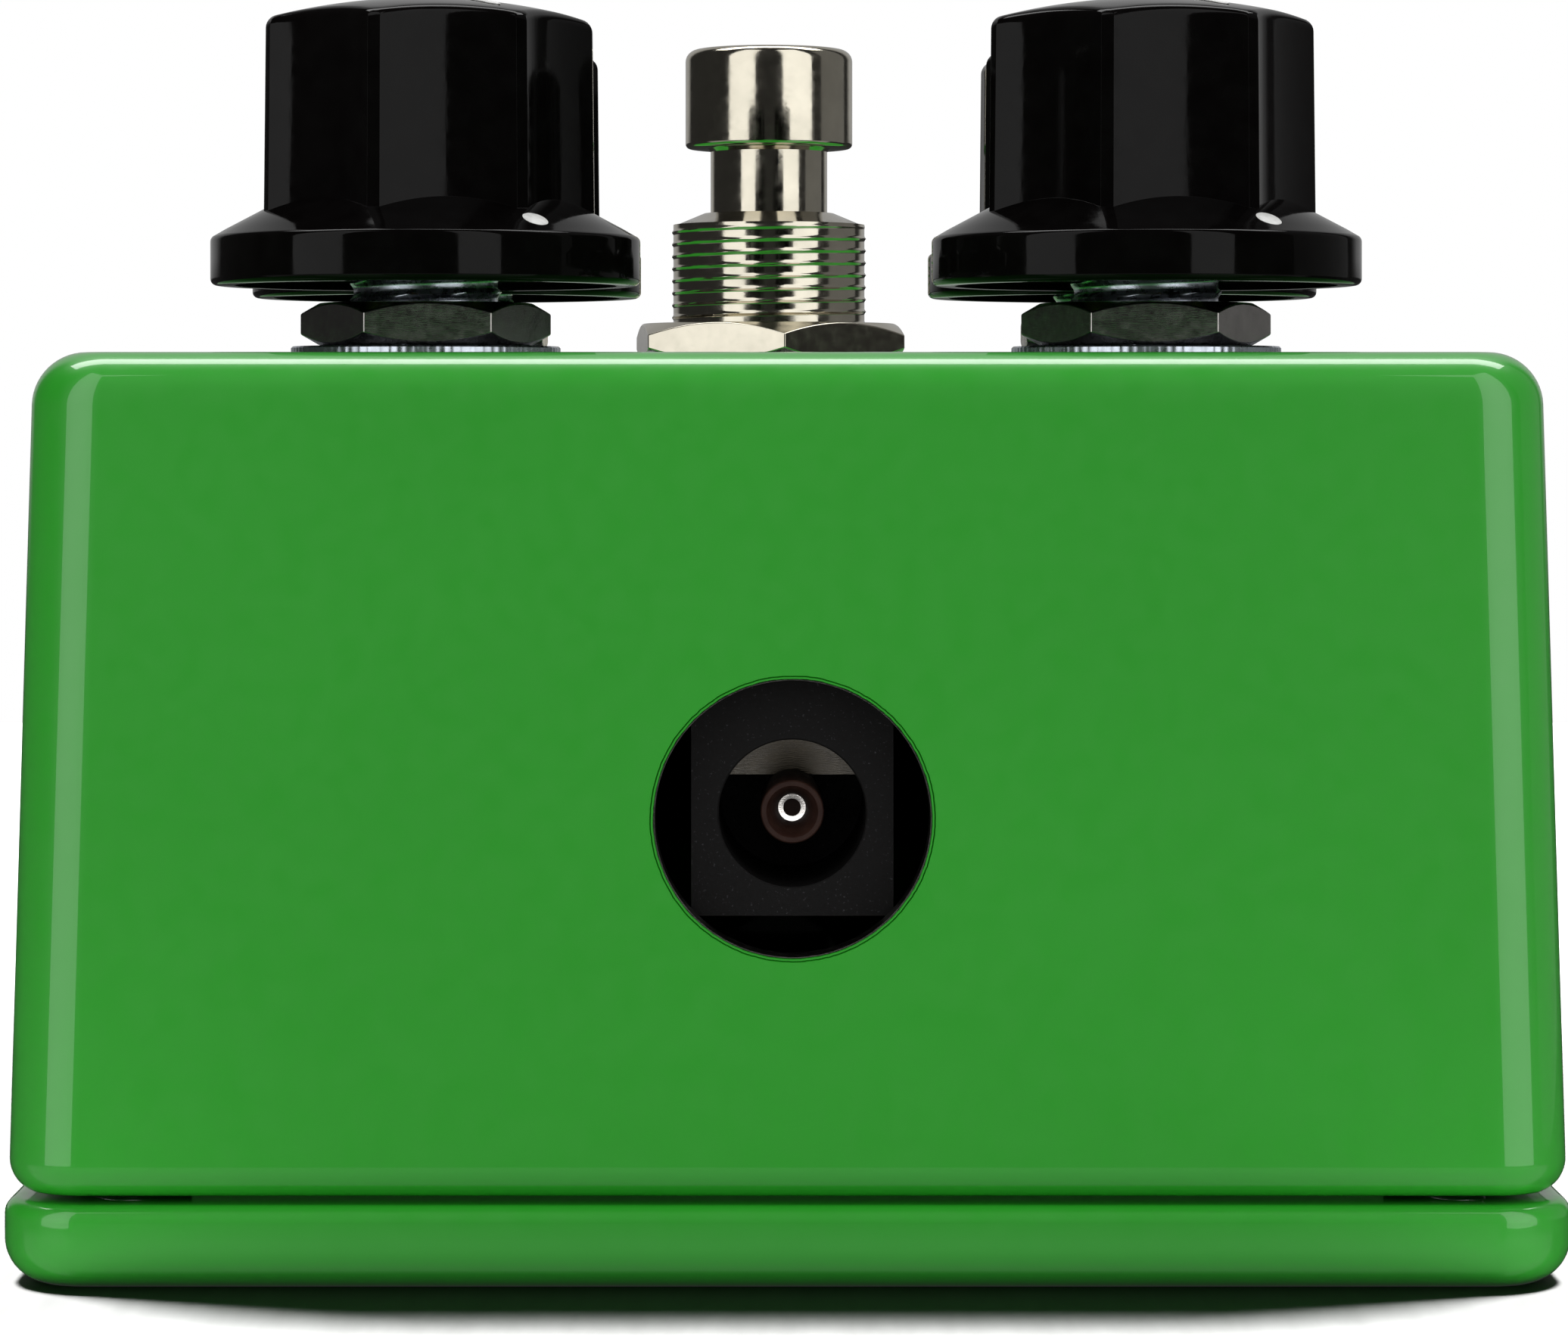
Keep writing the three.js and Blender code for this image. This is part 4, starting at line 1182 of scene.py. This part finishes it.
# ---------------------------------------------------------------- building it

enclosure_shell()
base_plate()
for index, spot in enumerate(SCREWS, start=1):
    base_plate_screw(index, spot)
caps = []
for knob in KNOBS:
    seat = knob_place(knob)
    caps.append(knob_cap(knob, seat))
    knob_marks(knob, seat)
    knob_inside(knob, seat)
    pot_fixed_parts(knob)
footswitch_button()
footswitch_fixed_parts()
footswitch_spring()
audio_socket("output", 0)
audio_socket("input", math.pi)
pin, leaf = power_socket()
indicator_light()
circuit_boards()
amplifier_chip()
capacitor(1)
capacitor(2)
board_ribbon()

# ---------------------------------------------------------------- floor, light and camera

OBJECT_MIDDLE = Vector((0, -0.03, 0.02))
FRONT_GLOW = 0.03
BELOW_GLOW = 0.35
BACKDROP_GLOW = 0.4
PANEL_FOOT = -7                # degrees above the horizon, seen from the object
PANEL_HEAD = 68
EYE = Vector((-0.75, PLATE_LOW.y - 193.6, 36.3))


def floor():
    """A plain pale floor with a fine paper-like tooth. It ends a little way in front of the object."""
    mesh = bpy.data.meshes.new("floor")
    side, front, back = 0.4, PLATE_LOW.y * MM - 0.009, 0.3
    corners = [(-side, front, 0), (side, front, 0), (side, back, 0), (-side, back, 0)]
    mesh.from_pydata(corners, [], [(0, 1, 2, 3)])
    obj = bpy.data.objects.new("floor", mesh)
    bpy.context.scene.collection.objects.link(obj)
    paper = Finish("floor_paper", roughness=0.6, specular_ior_level=0.1)
    paper.colours(paper.noise(900, 4, (1, 0.12, 1)), (0.084, 0.084, 0.083), (0.096, 0.096, 0.095))
    paper.bump(paper.noise(1500, 3, (1, 0.15, 1)), 0.01)
    mesh.materials.append(paper.material)
    obj.visible_glossy = False
    return obj


def light_panel(name, place, facing_away, width, height, radiance):
    """A rectangular light whose back points along facing_away."""
    light = bpy.data.lights.new(name, "AREA")
    light.shape = "RECTANGLE"
    light.size = width
    light.size_y = height
    light.energy = radiance * math.pi * width * height
    obj = bpy.data.objects.new(name, light)
    obj.location = place + OBJECT_MIDDLE
    obj.rotation_euler = facing_away.to_track_quat("Z", "Y").to_euler()
    bpy.context.scene.collection.objects.link(obj)
    return obj


def soft_box(name, azimuth, low, high, radiance):
    """A tall upright panel a metre away, seen from the object between azimuths and heights.

    azimuth is a pair of degrees from -Y towards +X, and low and high are degrees above the horizon.
    """
    middle = math.radians(sum(azimuth) / 2)
    width = 2 * math.tan(math.radians(azimuth[1] - azimuth[0]) / 2)
    bottom, top = math.tan(math.radians(low)), math.tan(math.radians(high))
    outward = Vector((math.sin(middle), -math.cos(middle), 0))
    place = outward + Vector((0, 0, (bottom + top) / 2))
    return light_panel(name, place, outward, width, top - bottom, radiance)


def overhead_light(name, low, high, radiance, width, sideways=0):
    """A panel between two angles behind the zenith, so that shadows fall forward."""
    tilt = math.radians((low + high) / 2)
    up = Vector((sideways, math.sin(tilt), math.cos(tilt)))
    depth = 2 * math.tan(math.radians(high - low) / 2)
    return light_panel(name, up, up, width, depth, radiance)


def limit_light(light, objects, state):
    """INCLUDE lets the light fall on the objects alone. EXCLUDE lets it fall on all but them."""
    receivers = bpy.data.collections.new(f"{light.name}_receivers")
    for obj in objects:
        receivers.objects.link(obj)
    light.light_linking.receiver_collection = receivers
    for entry in receivers.collection_objects:
        entry.light_linking.link_state = state


def lights(ground, pin, leaf, caps):
    """Two tall panels to be mirrored in the corners, a dim side panel, a fill, and the lights above.

    The knobs mirror two narrower panels, so that their ribs' faces stay dark between bright edges.

    The floor has two small lights of its own, so that its shadow has a narrow edge.
    """
    left = soft_box("soft_box_left", (-59, -20), PANEL_FOOT, PANEL_HEAD, 1.5)
    right = soft_box("soft_box_right", (20, 64), PANEL_FOOT, PANEL_HEAD, 1.55)
    side = soft_box("soft_box_side", (80, 130), PANEL_FOOT, 50, 0.15)
    fill = soft_box("soft_box_front", (-18, 18), PANEL_FOOT, 50, 0.75)
    fill.visible_glossy = False
    above = overhead_light("soft_box_above", 9, 27, 5.9, 1.3)
    for light in (left, right):
        limit_light(light, [ground, *caps], "EXCLUDE")
    for light in (side, fill, above):
        limit_light(light, [ground], "EXCLUDE")
    for name, azimuth in (("knob_light_left", (-70, -41)), ("knob_light_right", (20, 43))):
        limit_light(soft_box(name, azimuth, PANEL_FOOT, PANEL_HEAD, 1.5), caps, "INCLUDE")
    for name, sideways in (("floor_light_left", -0.35), ("floor_light_right", 0.35)):
        limit_light(overhead_light(name, 7, 17.5, 1150, 0.2, sideways), [ground], "INCLUDE")
    limit_light(soft_box("pin_light", (-25, 25), -4, 25, 5), [pin], "INCLUDE")
    leaf_light = soft_box("leaf_light", (-25, 25), -14, 12, 0.06)
    leaf_light.data.color = (1, 0.86, 0.55)
    limit_light(leaf_light, [leaf], "INCLUDE")


def surroundings():
    """A white studio to look at. What lights the object is dim, but pale behind it and below it."""
    world = bpy.data.worlds.new("studio")
    bpy.context.scene.world = world
    world.use_nodes = True
    tree = world.node_tree
    tree.nodes.clear()
    parts = tree.nodes.new("ShaderNodeSeparateXYZ")
    tree.links.new(tree.nodes.new("ShaderNodeTexCoord").outputs["Generated"], parts.inputs["Vector"])

    def calculate(operation, first, second=None):
        node = tree.nodes.new("ShaderNodeMath")
        node.operation = operation
        tree.links.new(first, node.inputs[0])
        if second:
            tree.links.new(second, node.inputs[1])
        return node.outputs["Value"]

    def between(*values):
        return map_range(tree, *values)

    sideways, height = parts.outputs["X"], parts.outputs["Z"]
    behind = calculate("SUBTRACT", parts.outputs["Y"], calculate("ABSOLUTE", sideways))
    behind = calculate("MULTIPLY", between(behind, 0.05, 0.3, 0, 1), between(height, -0.03, 0.03, 0, 1))
    below = between(height, -0.19, -0.13, BELOW_GLOW - FRONT_GLOW, 0)
    below = calculate("MULTIPLY", below, between(height, -0.99, -0.94, 0, 1))
    below = calculate("MULTIPLY", below, between(parts.outputs["Y"], 0, 0.1, 1, 0))
    glow = calculate("ADD", below, between(behind, 0, 1, FRONT_GLOW, BACKDROP_GLOW))
    light = tree.nodes.new("ShaderNodeBackground")
    light.inputs["Color"].default_value = (1, 1, 1, 1)
    tree.links.new(glow, light.inputs["Strength"])
    white = tree.nodes.new("ShaderNodeBackground")
    white.inputs["Color"].default_value = (1, 1, 1, 1)
    seen = tree.nodes.new("ShaderNodeLightPath")
    choose = tree.nodes.new("ShaderNodeMixShader")
    tree.links.new(seen.outputs["Is Camera Ray"], choose.inputs["Fac"])
    tree.links.new(light.outputs["Background"], choose.inputs[1])
    tree.links.new(white.outputs["Background"], choose.inputs[2])
    output = tree.nodes.new("ShaderNodeOutputWorld")
    tree.links.new(choose.outputs["Shader"], output.inputs["Surface"])


def camera():
    """Level, just below the top face, looking along +Y at the end wall from close by."""
    data = bpy.data.cameras.new("camera")
    data.sensor_width = 36
    data.lens = 107.64
    data.shift_x = 0.0091
    data.shift_y = -0.1607
    data.clip_start = 0.01
    data.clip_end = 50
    obj = bpy.data.objects.new("camera", data)
    obj.location = EYE * MM
    obj.rotation_euler = (math.pi / 2, 0, 0)
    bpy.context.scene.collection.objects.link(obj)
    bpy.context.scene.camera = obj


surroundings()
lights(floor(), pin, leaf, caps)
camera()
bpy.context.scene.view_settings.view_transform = "Standard"
